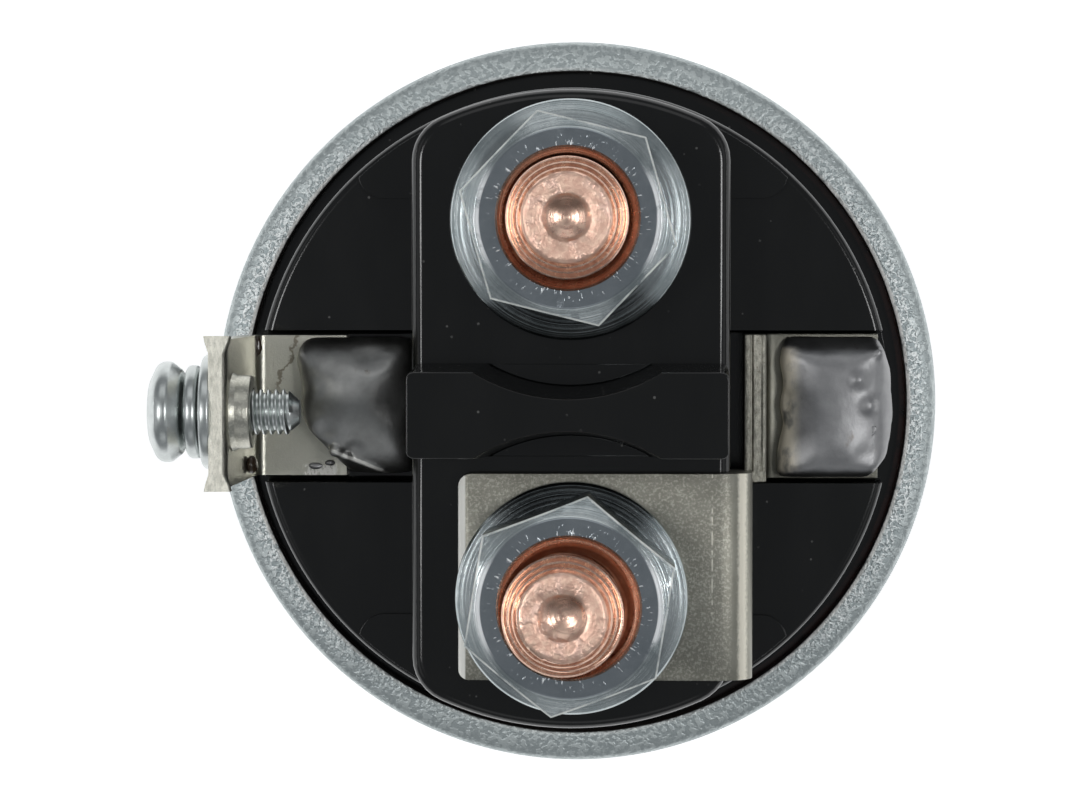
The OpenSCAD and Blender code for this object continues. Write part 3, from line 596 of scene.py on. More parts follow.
class Tree:
    """Builds one material's nodes, measured in millimetres on Object coordinates."""

    def __init__(self, name: str) -> None:
        """Starts a material with its shader.

        Args:
            name: the material's name.
        """
        self.material = bpy.data.materials.new(name)
        self.material.use_nodes = True
        self.nodes = self.material.node_tree.nodes
        self.links = self.material.node_tree.links
        self.nodes.clear()
        self.shader = self.add("ShaderNodeBsdfPrincipled")
        out = self.add("ShaderNodeOutputMaterial")
        self.links.new(self.shader.outputs[0], out.inputs["Surface"])
        place = self.add("ShaderNodeTexCoord").outputs["Object"]
        scaled = self.add("ShaderNodeVectorMath", {"operation": "SCALE"}, {0: place, "Scale": 1 / MM})
        self.place = scaled.outputs["Vector"]

    def add(self, kind: str, settings: dict | None = None, inputs: dict | None = None) -> bpy.types.Node:
        """Adds a node.

        Args:
            kind: the node's type.
            settings: its settings.
            inputs: values or links by socket name or number.

        Returns:
            The node.
        """
        node = self.nodes.new(kind)
        for name, value in (settings or {}).items():
            setattr(node, name, value)
        for name, value in (inputs or {}).items():
            self.feed(node.inputs[name], value)
        return node

    def feed(self, socket: bpy.types.NodeSocket, value: object) -> None:
        """Links or sets one socket.

        Args:
            socket: the socket.
            value: an expression or a socket to link, or a value to set.
        """
        if isinstance(value, Expr):
            self.links.new(value.socket, socket)
        elif isinstance(value, bpy.types.NodeSocket):
            self.links.new(value, socket)
        elif socket.type == "RGBA" and len(value) == 3:
            socket.default_value = (*value, 1)
        else:
            socket.default_value = value

    def math(self, operation: str, *values: object) -> Expr:
        """A Math node as an expression."""
        node = self.add("ShaderNodeMath", {"operation": operation}, dict(enumerate(values)))
        return Expr(self, node.outputs[0])

    def axis(self, name: str) -> Expr:
        """One coordinate in millimetres."""
        return Expr(self, self.add("ShaderNodeSeparateXYZ", {}, {0: self.place}).outputs[name])

    def reach(self, centre: Point2 = (0, 0)) -> Expr:
        """Distance from an upright axis."""
        x, y = self.axis("X") - centre[0], self.axis("Y") - centre[1]
        return (x * x + y * y) ** 0.5

    def noise(
        self, scale: float, detail: float = 3, rough: float = 0.55, place: bpy.types.NodeSocket | None = None
    ) -> Expr:
        """Cloud noise.

        Args:
            scale: its scale per millimetre.
            detail: how many finer clouds are laid over it.
            rough: how strong the finer ones are.
            place: where it is read, if not at the plain place.

        Returns:
            The noise, about 0.5 on average.
        """
        inputs = {"Vector": place or self.place, "Scale": scale, "Detail": detail, "Roughness": rough}
        return Expr(self, self.add("ShaderNodeTexNoise", {}, inputs).outputs[0])

    def rings(self, reach: Expr, scale: float, detail: float) -> Expr:
        """Noise along a radius alone, as a lathe leaves it."""
        inputs = {"W": reach, "Scale": scale, "Detail": detail}
        return Expr(self, self.add("ShaderNodeTexNoise", {"noise_dimensions": "1D"}, inputs).outputs[0])

    def cells(self, scale: float) -> Expr:
        """Distance to the nearest of scattered points."""
        node = self.add("ShaderNodeTexVoronoi", {}, {"Vector": self.place, "Scale": scale})
        return Expr(self, node.outputs["Distance"])

    def stretched(self, factors: Point3, turn: Point3 = (0, 0, 0)) -> bpy.types.NodeSocket:
        """The place, stretched for brushed or drawn marks."""
        inputs = {0: self.place, "Rotation": turn, "Scale": factors}
        return self.add("ShaderNodeMapping", {}, inputs).outputs[0]

    def mix(self, share: object, first: object, second: object) -> bpy.types.NodeSocket:
        """Mixes two colours."""
        return self.add("ShaderNodeMix", {"data_type": "RGBA"}, {0: share, 6: first, 7: second}).outputs[2]

    def coats(self, tone: bpy.types.NodeSocket, *coats: tuple[Expr, Colour]) -> bpy.types.NodeSocket:
        """Lays colours over a tone, one after another.

        Args:
            tone: the colour underneath.
            coats: the (share, colour) of each coat.

        Returns:
            The colour on top.
        """
        for share, colour in coats:
            tone = self.mix(share, tone, colour)
        return tone

    def bump(self, height: Expr, depth: float, strength: float) -> bpy.types.NodeSocket:
        """A bump of a depth in millimetres."""
        inputs = {"Strength": strength, "Distance": depth * MM, "Height": height}
        return self.add("ShaderNodeBump", {}, inputs).outputs[0]

    def set(self, **values: object) -> None:
        """Sets the shader's sockets; an underscore stands for a space."""
        for name, value in values.items():
            self.feed(self.shader.inputs[name.replace("_", " ")], value)


@dataclass(frozen=True)
class Finish:
    """A finish of the relay, which belongs to one of the record's material slots."""

    slot: str

    @property
    def kind(self) -> str:
        """What tells this material from others of its slot."""
        return type(self).__name__

    def material(self) -> bpy.types.Material:
        """The finish's material, made once.

        Returns:
            The material.
        """
        name = f"{self.slot}_{self.kind}"
        if name not in bpy.data.materials:
            self.paint(Tree(name))
        return bpy.data.materials[name]

    def paint(self, tree: Tree) -> None:
        """Builds the nodes; each finish has its own."""
        raise NotImplementedError


@dataclass(frozen=True)
class BlastedZinc(Finish):
    """Zinc plate over blasted steel; the rim's crest has painted glints and a painted darker base left and
    right, the inner lip has wear with a painted highlight, and the wall below it has dirt with painted shade.
    """

    colour: Colour = (0.76, 0.81, 0.80)
    dark: Colour = (0.25, 0.29, 0.30)
    # Painted glint tone for the bright strokes on the crest.
    spark: Colour = (0.95, 0.98, 0.97)
    # Tone for the inner lip: wear with a painted highlight.
    bare: Colour = (0.97, 0.96, 0.92)
    # Tone for the wall under the lip: dirt and rust with painted shade.
    grime_and_shade: Colour = (0.09, 0.05, 0.04)
    grain: float = 3.0
    rim_bore_r: float = 23.36
    seat_z: float = 54.5

    def paint(self, tree: Tree) -> None:
        """Builds the nodes.

        Args:
            tree: the material's nodes.
        """
        reach, z, bore, seat = tree.reach(), tree.axis("Z"), self.rim_bore_r, self.seat_z
        # Left and right of the axis, where the lamps stand, the crest gets painted glints and a painted
        # darker base.
        sides = (abs(tree.axis("X")) / reach).over(0.40, 0.95)
        crest = reach.under(24.3, 25.0) * z.over(seat, seat + 0.3)
        blobs = tree.noise(self.grain, 1.2, 0.5).over(0.43, 0.60)
        fine = tree.noise(self.grain * 2.4, 3, 0.6)
        share = 0.50 + (blobs - 0.42) * (0.22 + crest * 0.10) + (fine - 0.5) * 0.45 - crest * sides * 0.22
        # Painted glints: bright strokes on the crest where its grain would catch the left and right lamps.
        painted_glints = abs(tree.noise(self.grain * 0.95, 0.6, 0.5) - 0.5).under(0.03, 0.085)
        painted_glints = painted_glints * fine.over(0.36, 0.52) * crest * sides * reach.under(24.4, 24.9)
        # The inner lip: real wear, with a painted highlight that grows left and right towards the lamps.
        worn_and_highlight = reach.between(bore + 0.01, bore + 0.04, 23.57, 23.69) * crest
        worn_and_highlight = worn_and_highlight * (0.2 + sides * 0.8) * tree.noise(1.3, 3, 0.6).over(0.25, 0.5)
        # The wall under the lip: dirt with painted shade, where the gap to the cap lies in shadow.
        wall = reach.under(bore, bore + 0.05) * z.over(seat - 0.2, seat)
        tone = tree.coats(
            tree.mix(share, self.dark, self.colour),
            (painted_glints * 0.9, self.spark), (worn_and_highlight * 0.95, self.bare), (wall * 0.9, self.grime_and_shade),
        )
        tree.set(
            Base_Color=tone, Metallic=1.0 - worn_and_highlight * 0.7 - painted_glints * 0.35, Roughness=0.43 + fine * 0.10,
            Normal=tree.bump(blobs * 0.8 + fine * 0.5, 0.035, 0.8),
        )


@dataclass(frozen=True)
class Phenolic(Finish):
    """Glossy black moulding compound with a faint flow, a few specks, and rust with painted shade in the gap
    inside the can's rim.
    """

    colour: Colour = (0.0022, 0.0024, 0.0023)
    haze: Colour = (0.0048, 0.005, 0.0048)
    dust: Colour = (0.5, 0.49, 0.47)
    # Rust with painted shade, for the gap inside the can's rim.
    rust: Colour = (0.085, 0.032, 0.024)

    def paint(self, tree: Tree) -> None:
        """Builds the nodes.

        Args:
            tree: the material's nodes.
        """
        flow = tree.noise(0.35, 4, 0.55, tree.stretched((1, 0.35, 1)))
        fine = tree.noise(5.0, 3, 0.6)
        dust = tree.cells(0.9).under(0.05, 0.11) * tree.noise(0.7, 2).over(0.5, 0.62)
        reach, z = tree.reach(), tree.axis("Z")
        # Rust on the cap's seat inside the can's rim, also standing for the shade in that gap.
        joint = reach.over(22.85, 23.05) * z.over(54.0, 54.3) * (tree.axis("X") / reach).over(0.25, 0.9)
        tone = tree.coats(
            tree.mix(flow, self.colour, self.haze),
            (dust * 0.16, self.dust), (joint * tree.noise(0.9, 3).over(0.2, 0.6) * 0.85, self.rust),
        )
        tree.set(
            Base_Color=tone, Roughness=0.11 + flow * 0.08 + fine * 0.03 + dust * 0.3, IOR=1.5,
            Normal=tree.bump(fine * 0.4 + flow * 1.2, 0.012, 0.3),
        )


@dataclass(frozen=True)
class TurnedCopper(Finish):
    """Turned copper, dulled a little, with rings about one stud's axis, painted shade in the nut's
    countersink and in the centre mark, and a painted highlight on the lip of the thread's last turn.
    """

    centre: Point2 = (0, 0)
    colour: Colour = (0.97, 0.68, 0.53)
    dull: Colour = (0.84, 0.53, 0.41)
    bright: Colour = (0.93, 0.66, 0.56)
    # Painted highlight tone for the lip ring.
    edge_highlight: Colour = (0.86, 0.60, 0.48)
    # Painted shade for the hollow round the stud inside the nut's countersink.
    recess_shade: Colour = (0.24, 0.14, 0.10)
    shadow: Colour = (0.30, 0.17, 0.12)
    root: float = 3.55
    nut_top: float = 77.0

    @property
    def kind(self) -> str:
        """Which stud the material is for."""
        return f"turned_{'upper' if self.centre[1] > 0 else 'lower'}"

    def paint(self, tree: Tree) -> None:
        """Builds the nodes.

        Args:
            tree: the material's nodes.
        """
        reach, z, top = tree.reach(self.centre), tree.axis("Z"), self.nut_top
        ring = tree.rings(reach, 7.0, 2.0)
        mottle = tree.noise(2.4, 5, 0.65)
        spots = tree.noise(1.1, 3, 0.5).over(0.50, 0.68)
        face = reach.between(1.2, 1.7, 2.8, 3.1)
        # Painted shade: copper darkened low in the nut's countersink, where little light reaches.
        deep_shade = z.under(top - 0.9, top - 0.25) * reach.over(self.root - 0.3, self.root)
        # Painted highlight: a thin bright ring on the outer lip, standing for the countersink's reflection of
        # the copper.
        lip = reach.over(4.3, 4.42) * z.over(top - 0.45, top - 0.3)
        # Painted shade: a dark band in the gap between the stud's crest and the countersink.
        groove_shade = reach.between(3.86, 3.96, 4.2, 4.4) * z.between(top - 1.6, top - 1.5, top - 0.2, top - 0.1)
        mark = reach.under(1.1, 1.6)
        shade = mark * (tree.axis("Y") - self.centre[1] + (mottle - 0.5) * 1.2).over(0.2, 0.8)
        tone = tree.coats(
            tree.mix(mottle.over(0.38, 0.66), self.dull, self.colour),
            (spots * face * 0.5, self.bright), (deep_shade * (0.35 + ring * 0.6), self.recess_shade),
            (groove_shade * (0.85 - mottle * 0.3), self.recess_shade), (lip * (0.5 + mottle * 0.6), self.edge_highlight),
            (shade * 0.75, self.shadow),
        )
        ridges = ring * (1 - face * 0.7) * 0.7 + mottle * (0.3 + face * 1.2) + spots * face
        tree.set(
            Base_Color=tone, Metallic=1.0, Normal=tree.bump(ridges, 0.05, 0.6),
            Roughness=0.20 + mottle * 0.12 + face * 0.14 + deep_shade * 0.1 + mark * 0.02,
        )


@dataclass(frozen=True)
class BrightZinc(Finish):
    """Bright zinc plate on turned steel, with fine handling marks."""

    colour: Colour = (0.66, 0.70, 0.72)
    dull: Colour = (0.50, 0.54, 0.56)
    gloss: float = 0.12

    @property
    def kind(self) -> str:
        """How glossy the material is."""
        return f"bright_{round(self.gloss * 100)}"

    def paint(self, tree: Tree) -> None:
        """Builds the nodes.

        Args:
            tree: the material's nodes.
        """
        cloud = tree.noise(0.55, 5, 0.6)
        grain = tree.noise(7.0, 4, 0.7)
        marks = tree.noise(2.2, 3, 0.6, tree.stretched((1, 0.18, 1), (0, 0, 0.6)))
        tree.set(
            Base_Color=tree.mix(cloud.over(0.3, 0.75), self.dull, self.colour), Metallic=1.0,
            Roughness=self.gloss + grain * 0.10 + cloud * 0.05,
            Normal=tree.bump(grain * 0.5 + marks * 0.6 + cloud * 0.5, 0.022, 0.5),
        )


@dataclass(frozen=True)
class NutZinc(Finish):
    """Zinc plate on a nut: turned rings on the flange, radial marks on the dark top ring painted bright as
    glints, and painted highlights on the hex's rounded edges and on the chamfer's rim left and right.
    """

    centre: Point2 = (0, 0)
    top: float = 77.0
    turn: float = 0.0
    half_flat: float = 6.32
    colour: Colour = (0.58, 0.625, 0.63)
    dull: Colour = (0.36, 0.41, 0.42)
    ring: Colour = (0.30, 0.33, 0.36)
    shadow: Colour = (0.20, 0.22, 0.23)
    # Near-white tone for the radial marks, painted as glints.
    burr_glint: Colour = (0.9, 0.92, 0.93)
    # Painted highlight tone for the hex's rounded edges.
    edge_highlight: Colour = (0.86, 0.88, 0.84)
    glint: Colour = (0.95, 0.97, 0.98)

    @property
    def kind(self) -> str:
        """Which nut the material is for."""
        return "upper" if self.centre[1] > 0 else "lower"

    def paint(self, tree: Tree) -> None:
        """Builds the nodes.

        Args:
            tree: the material's nodes.
        """
        x, y, z = tree.axis("X") - self.centre[0], tree.axis("Y") - self.centre[1], tree.axis("Z")
        reach = (x * x + y * y) ** 0.5
        around = tree.math("ARCTAN2", y, x)
        high = z.over(self.top - 0.06, self.top - 0.02)
        spokes = tree.add("ShaderNodeCombineXYZ", {}, {0: around * 9, 1: reach * 0.45}).outputs[0]
        # Radial marks on the top ring, painted near white as glints.
        burr_glints = tree.noise(3.4, 2, 0.5, spokes).over(0.62, 0.72) * high * reach.under(5.0, 5.6)
        turning = tree.rings(reach, 6.5, 3.0).over(0.36, 0.64) * (1 - high)
        cloud = tree.noise(0.5, 5, 0.62)
        grain = tree.noise(6.5, 4, 0.7)
        corners = [math.radians(self.turn + step) for step in (30, 90, 150)]
        flats = [abs(x * math.cos(a) + y * math.sin(a)) for a in corners]
        across = tree.math("MAXIMUM", tree.math("MAXIMUM", *flats[:2]), flats[2]) + (grain - 0.5) * 0.05
        under = z - (self.top - (reach - 5.8) * 0.55)
        # Painted highlight: the hex's rounded edges painted pale, as if catching the lamps.
        edges = across.over(self.half_flat - 0.14, self.half_flat - 0.08) * under.over(-0.25, -0.12)
        edges = edges * cloud.over(0.25, 0.6)
        shoulder = reach.under(6.9, 7.35) * z.under(self.top - 5.6, self.top - 5.2)
        # Painted highlight: crescents on the chamfer's rim, left and right, where it faces the lamps.
        lip = reach.over(5.72, 5.80) * reach.under(5.92, 6.12 + cloud * 0.3) * under.over(-0.3, -0.15)
        lip = lip * (abs(x) / reach).over(0.80, 0.97) * cloud.over(0.30, 0.48)
        tone = tree.coats(
            tree.mix(cloud.over(0.3, 0.7) * 0.7 + turning * 0.3, self.dull, self.colour),
            (shoulder * 0.6, self.shadow), (high * 0.8, self.ring), (burr_glints, self.burr_glint),
            (edges * 0.8, self.edge_highlight), (lip * 0.9, self.glint),
        )
        tree.set(
            Base_Color=tone, Metallic=1.0 - edges * 0.7 - burr_glints * 0.5 - lip * 0.75,
            Roughness=0.13 + grain * 0.12 + cloud * 0.08 + burr_glints * 0.2 + edges * 0.2,
            Normal=tree.bump(turning * 0.55 + grain * 0.4 + cloud * 0.8 + burr_glints * 2.0, 0.03, 0.5),
        )


@dataclass(frozen=True)
class TinnedBrass(Finish):
    """Tin plate on brass sheet: a warm grey with a rolled grain, painted highlights on the plate's left edge
    and along the bend, and fine scratches.
    """

    colour: Colour = (0.60, 0.59, 0.52)
    dull: Colour = (0.43, 0.425, 0.365)
    sheared: Colour = (0.84, 0.82, 0.73)
    burnt: Colour = (0.16, 0.13, 0.09)
    # Painted highlight tone for the band along the bend and the other painted edge highlights.
    edge_highlight: Colour = (0.86, 0.82, 0.70)
    # Painted highlight tone for the plate's left edge and the frost patches.
    bright: Colour = (0.97, 0.96, 0.90)
    gloss: float = 0.22
    shear_z: float = 76.0
    scratch_x: float = 9.5
    bend_x: float = 11.5
    rust_left: float = 19.0

    @property
    def kind(self) -> str:
        """How high the sheared edge lies."""
        return f"sheared_at_{round(self.shear_z)}"

    def paint(self, tree: Tree) -> None:
        """Builds the nodes.

        Args:
            tree: the material's nodes.
        """
        x, y, z, shear = tree.axis("X"), tree.axis("Y"), tree.axis("Z"), self.shear_z
        plate_top, bracket_foot = z.over(70.3, 70.45), z.under(61.3, 61.4)
        cloud = tree.noise(0.3, 5, 0.62)
        grain = tree.noise(3.2, 5, 0.7, tree.stretched((1, 0.12, 1)))
        speck = tree.noise(5.5, 4, 0.72)
        streaks = tree.noise(2.2, 4, 0.75, tree.stretched((2.0, 0.6, 1)))
        edge = z.between(shear - 0.22, shear - 0.08, shear + 0.1, shear + 0.2)
        dashes = abs(x - self.scratch_x + speck * 0.06).under(0.02, 0.07) * y.over(-14.5, -13.5)
        dashes = dashes * tree.noise(1.6, 2, 0.5, tree.stretched((0.2, 1, 1))).over(0.48, 0.56)
        # Painted highlight: the bus plate's rounded left edge painted near white, as lit by the left lamp;
        # the frost patches on the bracket foot's front edge share it.
        worn_and_highlight = x.between(-7.9, -7.8, -7.08, -6.94) * z.over(69.5, 69.7)
        frost = x.between(-18.9, -18.6, -16.6, -16.3) * y.under(-4.3, -4.0) * streaks.over(0.42, 0.5)
        worn_and_highlight = worn_and_highlight + frost * bracket_foot
        # Painted highlight: a pale band along the plate's bend.
        bent = abs(x - self.bend_x + (speck - 0.5) * 0.4).under(0.15, 0.42) * z.over(69.2, 69.5)
        rust = abs(x + self.rust_left + (cloud - 0.5) * 5 + (4 - y) * 0.35).under(0.05, 0.22)
        rust = rust * y.over(0.6, 1.6) * bracket_foot * x.over(-21.0, -20.6)
        tone = tree.coats(
            tree.mix(cloud.over(0.25, 0.75) * 0.6 + speck * 0.4, self.dull, self.colour),
            (edge * streaks.over(0.3, 0.7), self.sheared), (edge * speck.over(0.54, 0.66) * 0.55, self.burnt),
            (dashes * plate_top, self.sheared), (speck.over(0.48, 0.62) * plate_top * 0.42, self.sheared),
            (bent * 0.8, self.edge_highlight), (rust * 0.75, self.burnt), (worn_and_highlight, self.bright),
        )
        tree.set(
            Base_Color=tone, Metallic=1.0 - worn_and_highlight * 0.85 - bent * 0.4,
            Roughness=self.gloss + cloud * 0.07 + speck * 0.08 + edge * 0.18,
            Normal=tree.bump(grain * 0.6 + speck * 0.9 + edge * streaks * 3 + cloud * 0.8, 0.04, 0.5),
        )


@dataclass(frozen=True)
class Solder(Finish):
    """Solder that froze with a soft skin, dull in places, with traces of flux, a painted highlight on the
    motor joint's left flank and a painted highlight along the trigger joint's fold.
    """

    colour: Colour = (0.37, 0.37, 0.375)
    dull: Colour = (0.28, 0.28, 0.285)
    flux: Colour = (0.16, 0.12, 0.08)
    # Painted highlight tone for the motor joint's left flank.
    flank_highlight_tone: Colour = (0.74, 0.68, 0.57)
    # Painted highlight tone for the line along the fold.
    pale: Colour = (0.90, 0.89, 0.84)
    gloss: float = 0.35
    flank: Point2 = (15.0, 16.1)
    fold_lean: Point2 = (0.401, 0.917)
    fold_at: float = 9.40

    @property
    def kind(self) -> str:
        """How glossy the skin is."""
        return f"skin_{round(self.gloss * 100)}"

    def paint(self, tree: Tree) -> None:
        """Builds the nodes.

        Args:
            tree: the material's nodes.
        """
        x, y = tree.axis("X"), tree.axis("Y")
        cloud = tree.noise(0.38, 4, 0.6)
        skin = tree.noise(0.9, 4, 0.55, tree.stretched((1, 0.6, 1), (0, 0, 0.5)))
        fine = tree.noise(6.0, 4, 0.7)
        flux = skin.over(0.60, 0.74) * cloud.over(0.5, 0.64)
        # Painted highlight: the motor joint's left flank painted a light warm tone, as lit by the left lamp.
        warm = (x + skin * 0.6).under(*self.flank) * x.over(13.6, 13.8) * skin.over(0.30, 0.52)
        warm = warm * y.between(-4.9, -4.2, 3.9, 4.3)
        crease = x * self.fold_lean[0] + y * self.fold_lean[1] + self.fold_at + (skin - 0.5) * 0.25
        # Painted highlight: a pale line along the fold of beads on the trigger joint.
        fold = abs(crease).under(0.06, 0.17) * x.between(-16.7, -16.5, -13.4, -12.6)
        tone = tree.coats(
            tree.mix(cloud.over(0.3, 0.7), self.dull, self.colour),
            (flux * 0.5, self.flux), (warm * 0.9, self.flank_highlight_tone), (fold * 0.85, self.pale),
        )
        tree.set(
            Base_Color=tone, Metallic=1.0 - warm * 0.55 - fold * 0.6,
            Roughness=self.gloss + cloud * 0.10 + fine * 0.06,
            Normal=tree.bump(skin * 1.2 + fine * 0.25, 0.05, 0.5),
        )


@dataclass(frozen=True)
class Flux(Finish):
    """A drop of dark, glassy flux."""

    colour: Colour = (0.06, 0.04, 0.025)
    dark: Colour = (0.02, 0.012, 0.008)

    def paint(self, tree: Tree) -> None:
        """Builds the nodes.

        Args:
            tree: the material's nodes.
        """
        cloud = tree.noise(1.2, 3, 0.5)
        tree.set(
            Base_Color=tree.mix(cloud, self.dark, self.colour), Roughness=0.06 + cloud * 0.08,
            Normal=tree.bump(cloud, 0.08, 0.6),
        )


@dataclass(frozen=True)
class PlainMetal(Finish):
    """Turned or drawn metal with a grain along one direction."""

    colour: Colour
    dull: Colour
    gloss: float
    stretch: Point3 = (1, 1, 14)
    grain: float = 1.6

    def paint(self, tree: Tree) -> None:
        """Builds the nodes.

        Args:
            tree: the material's nodes.
        """
        cloud = tree.noise(0.35, 4, 0.6)
        lines = tree.noise(self.grain, 4, 0.7, tree.stretched(self.stretch))
        speck = tree.noise(6.0, 3, 0.65)
        tree.set(
            Base_Color=tree.mix(cloud.over(0.25, 0.75) * 0.6 + lines * 0.4, self.dull, self.colour),
            Metallic=1.0, Roughness=self.gloss + cloud * 0.10 + lines * 0.08,
            Normal=tree.bump(lines + speck * 0.4, 0.02, 0.5),
        )


@dataclass(frozen=True)
class Winding(Finish):
    """Enamelled wire laid side by side, shown as fine turns."""

    colour: Colour = (0.62, 0.24, 0.09)
    dull: Colour = (0.34, 0.10, 0.035)
    wire: float = 0.8

    def paint(self, tree: Tree) -> None:
        """Builds the nodes.

        Args:
            tree: the material's nodes.
        """
        turns = tree.math("SINE", tree.axis("Z") * (math.tau / self.wire)) * 0.5 + 0.5
        cloud = tree.noise(0.5, 4, 0.6)
        tree.set(
            Base_Color=tree.mix(turns * 0.6 + cloud * 0.4, self.dull, self.colour), Metallic=0.7,
            Roughness=0.28 + cloud * 0.15, Coat_Weight=0.5, Normal=tree.bump(turns, 0.2, 0.8),
        )


@dataclass(frozen=True)
class Moulded(Finish):
    """A plain moulded or pressed non-metal: nylon, paper, rubber or laminate."""

    colour: Colour
    shade: Colour
    rough: float
    grain: float
    depth: float

    def paint(self, tree: Tree) -> None:
        """Builds the nodes.

        Args:
            tree: the material's nodes.
        """
        cloud = tree.noise(0.4, 4, 0.6)
        grain = tree.noise(self.grain, 4, 0.65)
        tree.set(
            Base_Color=tree.mix(cloud * 0.6 + grain * 0.4, self.shade, self.colour),
            Roughness=self.rough + grain * 0.15, Normal=tree.bump(grain, self.depth, 0.6),
        )


EVEN = (1, 1, 1)
ZINC_CAN = BlastedZinc("housing_zinc")
PLATE = PlainMetal("plate_steel", (0.50, 0.53, 0.54), (0.36, 0.38, 0.39), 0.32, EVEN, 3.0)
CAP = Phenolic("cap_phenolic")
SCREW = BrightZinc("screw_zinc", (0.70, 0.73, 0.72), (0.50, 0.53, 0.52), 0.22)
TIN = TinnedBrass("tinned_brass")
TIN_BUS = TinnedBrass(
    "tinned_brass", (0.34, 0.335, 0.29), (0.22, 0.215, 0.18), (0.66, 0.64, 0.56), shear_z=66.0, gloss=0.36
)
SOLDER = Solder("solder")
DULL_SOLDER = Solder("solder", (0.47, 0.47, 0.46), (0.33, 0.33, 0.32), gloss=0.37)
FLUX = Flux("solder")
STEEL = PlainMetal("plunger_steel", (0.58, 0.59, 0.59), (0.42, 0.43, 0.43), 0.24)
SPRING = PlainMetal("spring_steel", (0.55, 0.56, 0.56), (0.34, 0.34, 0.34), 0.26, (3, 3, 1))
RUBBER = Moulded("rubber", (0.02, 0.02, 0.021), (0.012, 0.012, 0.013), 0.6, 3.0, 0.03)
NYLON = Moulded("bobbin_nylon", (0.72, 0.68, 0.55), (0.62, 0.57, 0.43), 0.38, 1.2, 0.02)
PAPER = Moulded("wrap_paper", (0.80, 0.72, 0.50), (0.66, 0.56, 0.36), 0.75, 1.6, 0.05)
LAMINATE = Moulded("insulator", (0.34, 0.10, 0.045), (0.22, 0.06, 0.03), 0.42, 2.4, 0.03)
WIRE = Winding("winding_copper")
BRASS = PlainMetal("sleeve_brass", (0.78, 0.60, 0.28), (0.58, 0.42, 0.17), 0.24)
IRON = PlainMetal("core_iron", (0.40, 0.42, 0.43), (0.28, 0.29, 0.30), 0.34, EVEN, 3.0)
ROD_STEEL = PlainMetal("rod_steel", (0.60, 0.62, 0.63), (0.45, 0.46, 0.47), 0.22)
CONTACT = PlainMetal("contact_copper", (0.86, 0.47, 0.33), (0.62, 0.30, 0.20), 0.24, EVEN, 2.4)
INNER = (
    (RUBBER, ("coil_cushion", "cap_gasket", "stud_seals")),
    (NYLON, ("coil_bobbin",)),
    (BRASS, ("guide_sleeve",)),
    (WIRE, ("pull_in_winding", "hold_in_winding", "motor_lead", "trigger_lead")),
    (PAPER, ("winding_wrap",)),
    (IRON, ("fixed_core",)),
    (ROD_STEEL, ("contact_rod",)),
    (SPRING, ("retaining_clip",)),
    (LAMINATE, ("lower_insulator", "upper_insulator")),
    (CONTACT, ("contact_disc",)),
)


# The relay's own pieces


@dataclass
class Housing:
    """The rolled can and the end plate with its spigot."""

    bench: Bench
    can_r: float = 25.49
    bore_r: float = 23.9
    rim_bore_r: float = 23.36
    rim_z: float = 56.0
    seat_z: float = 54.5
    rear_bore_r: float = 22.9
    rear_step: float = 1.2
    lip_r: float = 0.12
    plate_t: float = 6.0
    plate_gap: float = 0.05
    pilot_r: float = 13.5
    pilot_h: float = 3.0
    sleeve_r: float = 11.53
    hole_x: float = 18.2
    hole_r: float = 2.5
    hole_mouth_r: float = 3.3

    def can(self) -> bpy.types.Object:
        """The can, with a crimped rim that is highest at its slightly uneven inner lip.

        Returns:
            The finished can.
        """
        top, outer, inner, step = self.rim_z, self.can_r, self.rim_bore_r, self.rear_step
        below = [
            (inner, self.seat_z, 0.1), (self.bore_r, self.seat_z), (self.bore_r, step),
            (self.rear_bore_r, step, 0.15), (self.rear_bore_r, 0.0, 0.2), (outer, 0.0, 0.9),
        ]
        crimp = [
            (0.0, 1.22), (0.02, 1.02), (0.05, 0.85), (0.10, 0.70), (0.17, 0.56), (0.27, 0.43), (0.40, 0.32),
            (0.55, 0.245), (0.72, 0.185), (0.90, 0.14), (1.10, 0.10), (1.30, 0.07), (1.50, 0.045),
            (1.70, 0.02), (1.85, 0.0),
        ]
        profile = [
            *softened(below, 6), *((outer - inset, top - drop) for inset, drop in crimp),
            *arc(inner + self.lip_r, top - 0.13, self.lip_r, 100, 180, 5),
        ]
        can = self.bench.lathe(profile, 192, True)
        self.bench.group(can, "rim", lambda p: p.z > self.seat_z + 0.4 and p.xy.length < inner + 0.6)
        self.bench.roughen(can, 1.1, 0.12, "rim")
        return self.bench.finish(can, "rolled_can", "frame", ZINC_CAN, ["housing_can"], 40)

    def plate(self) -> bpy.types.Object:
        """The end plate with its spigot and two tapped holes.

        Returns:
            The finished plate.
        """
        bench, step = self.bench, self.rear_step + self.plate_gap
        rear, front = self.rear_bore_r - self.plate_gap, self.bore_r - self.plate_gap
        profile = softened(
            [
                (self.sleeve_r, -self.pilot_h, 0.3), (self.pilot_r, -self.pilot_h, 0.4),
                (self.pilot_r, 0.0, 0.1), (rear, 0.0, 0.25), (rear, step), (front, step),
                (front, self.plate_t), (self.sleeve_r, self.plate_t),
            ],
            4,
        )
        plate = bench.lathe(profile, 144, True)
        root, crest, mouth = self.hole_r + 0.45, self.hole_r - 0.02, self.hole_mouth_r
        ridge = [(root, 0.0), (root, 0.72), (crest, 0.42), (crest, 0.30)]
        wall = self.hole_r + 0.4
        bore = [(0, -1), (mouth, -1), (mouth, -0.4), (2.95, 0.0), (wall, 0.4), (wall, 7), (0, 7)]
        for side in (-1, 1):
            place = (side * self.hole_x, 0, 0)
            bench.combine(plate, Cut.TAKE, bench.shape(bench.lathe(bore, 48), place))
            bench.join(plate, bench.shape(bench.coil(ridge, 1.0, 5.2, 0.3), place))
        return bench.finish(plate, "end_plate", "frame", PLATE, ["mounting_plate"])


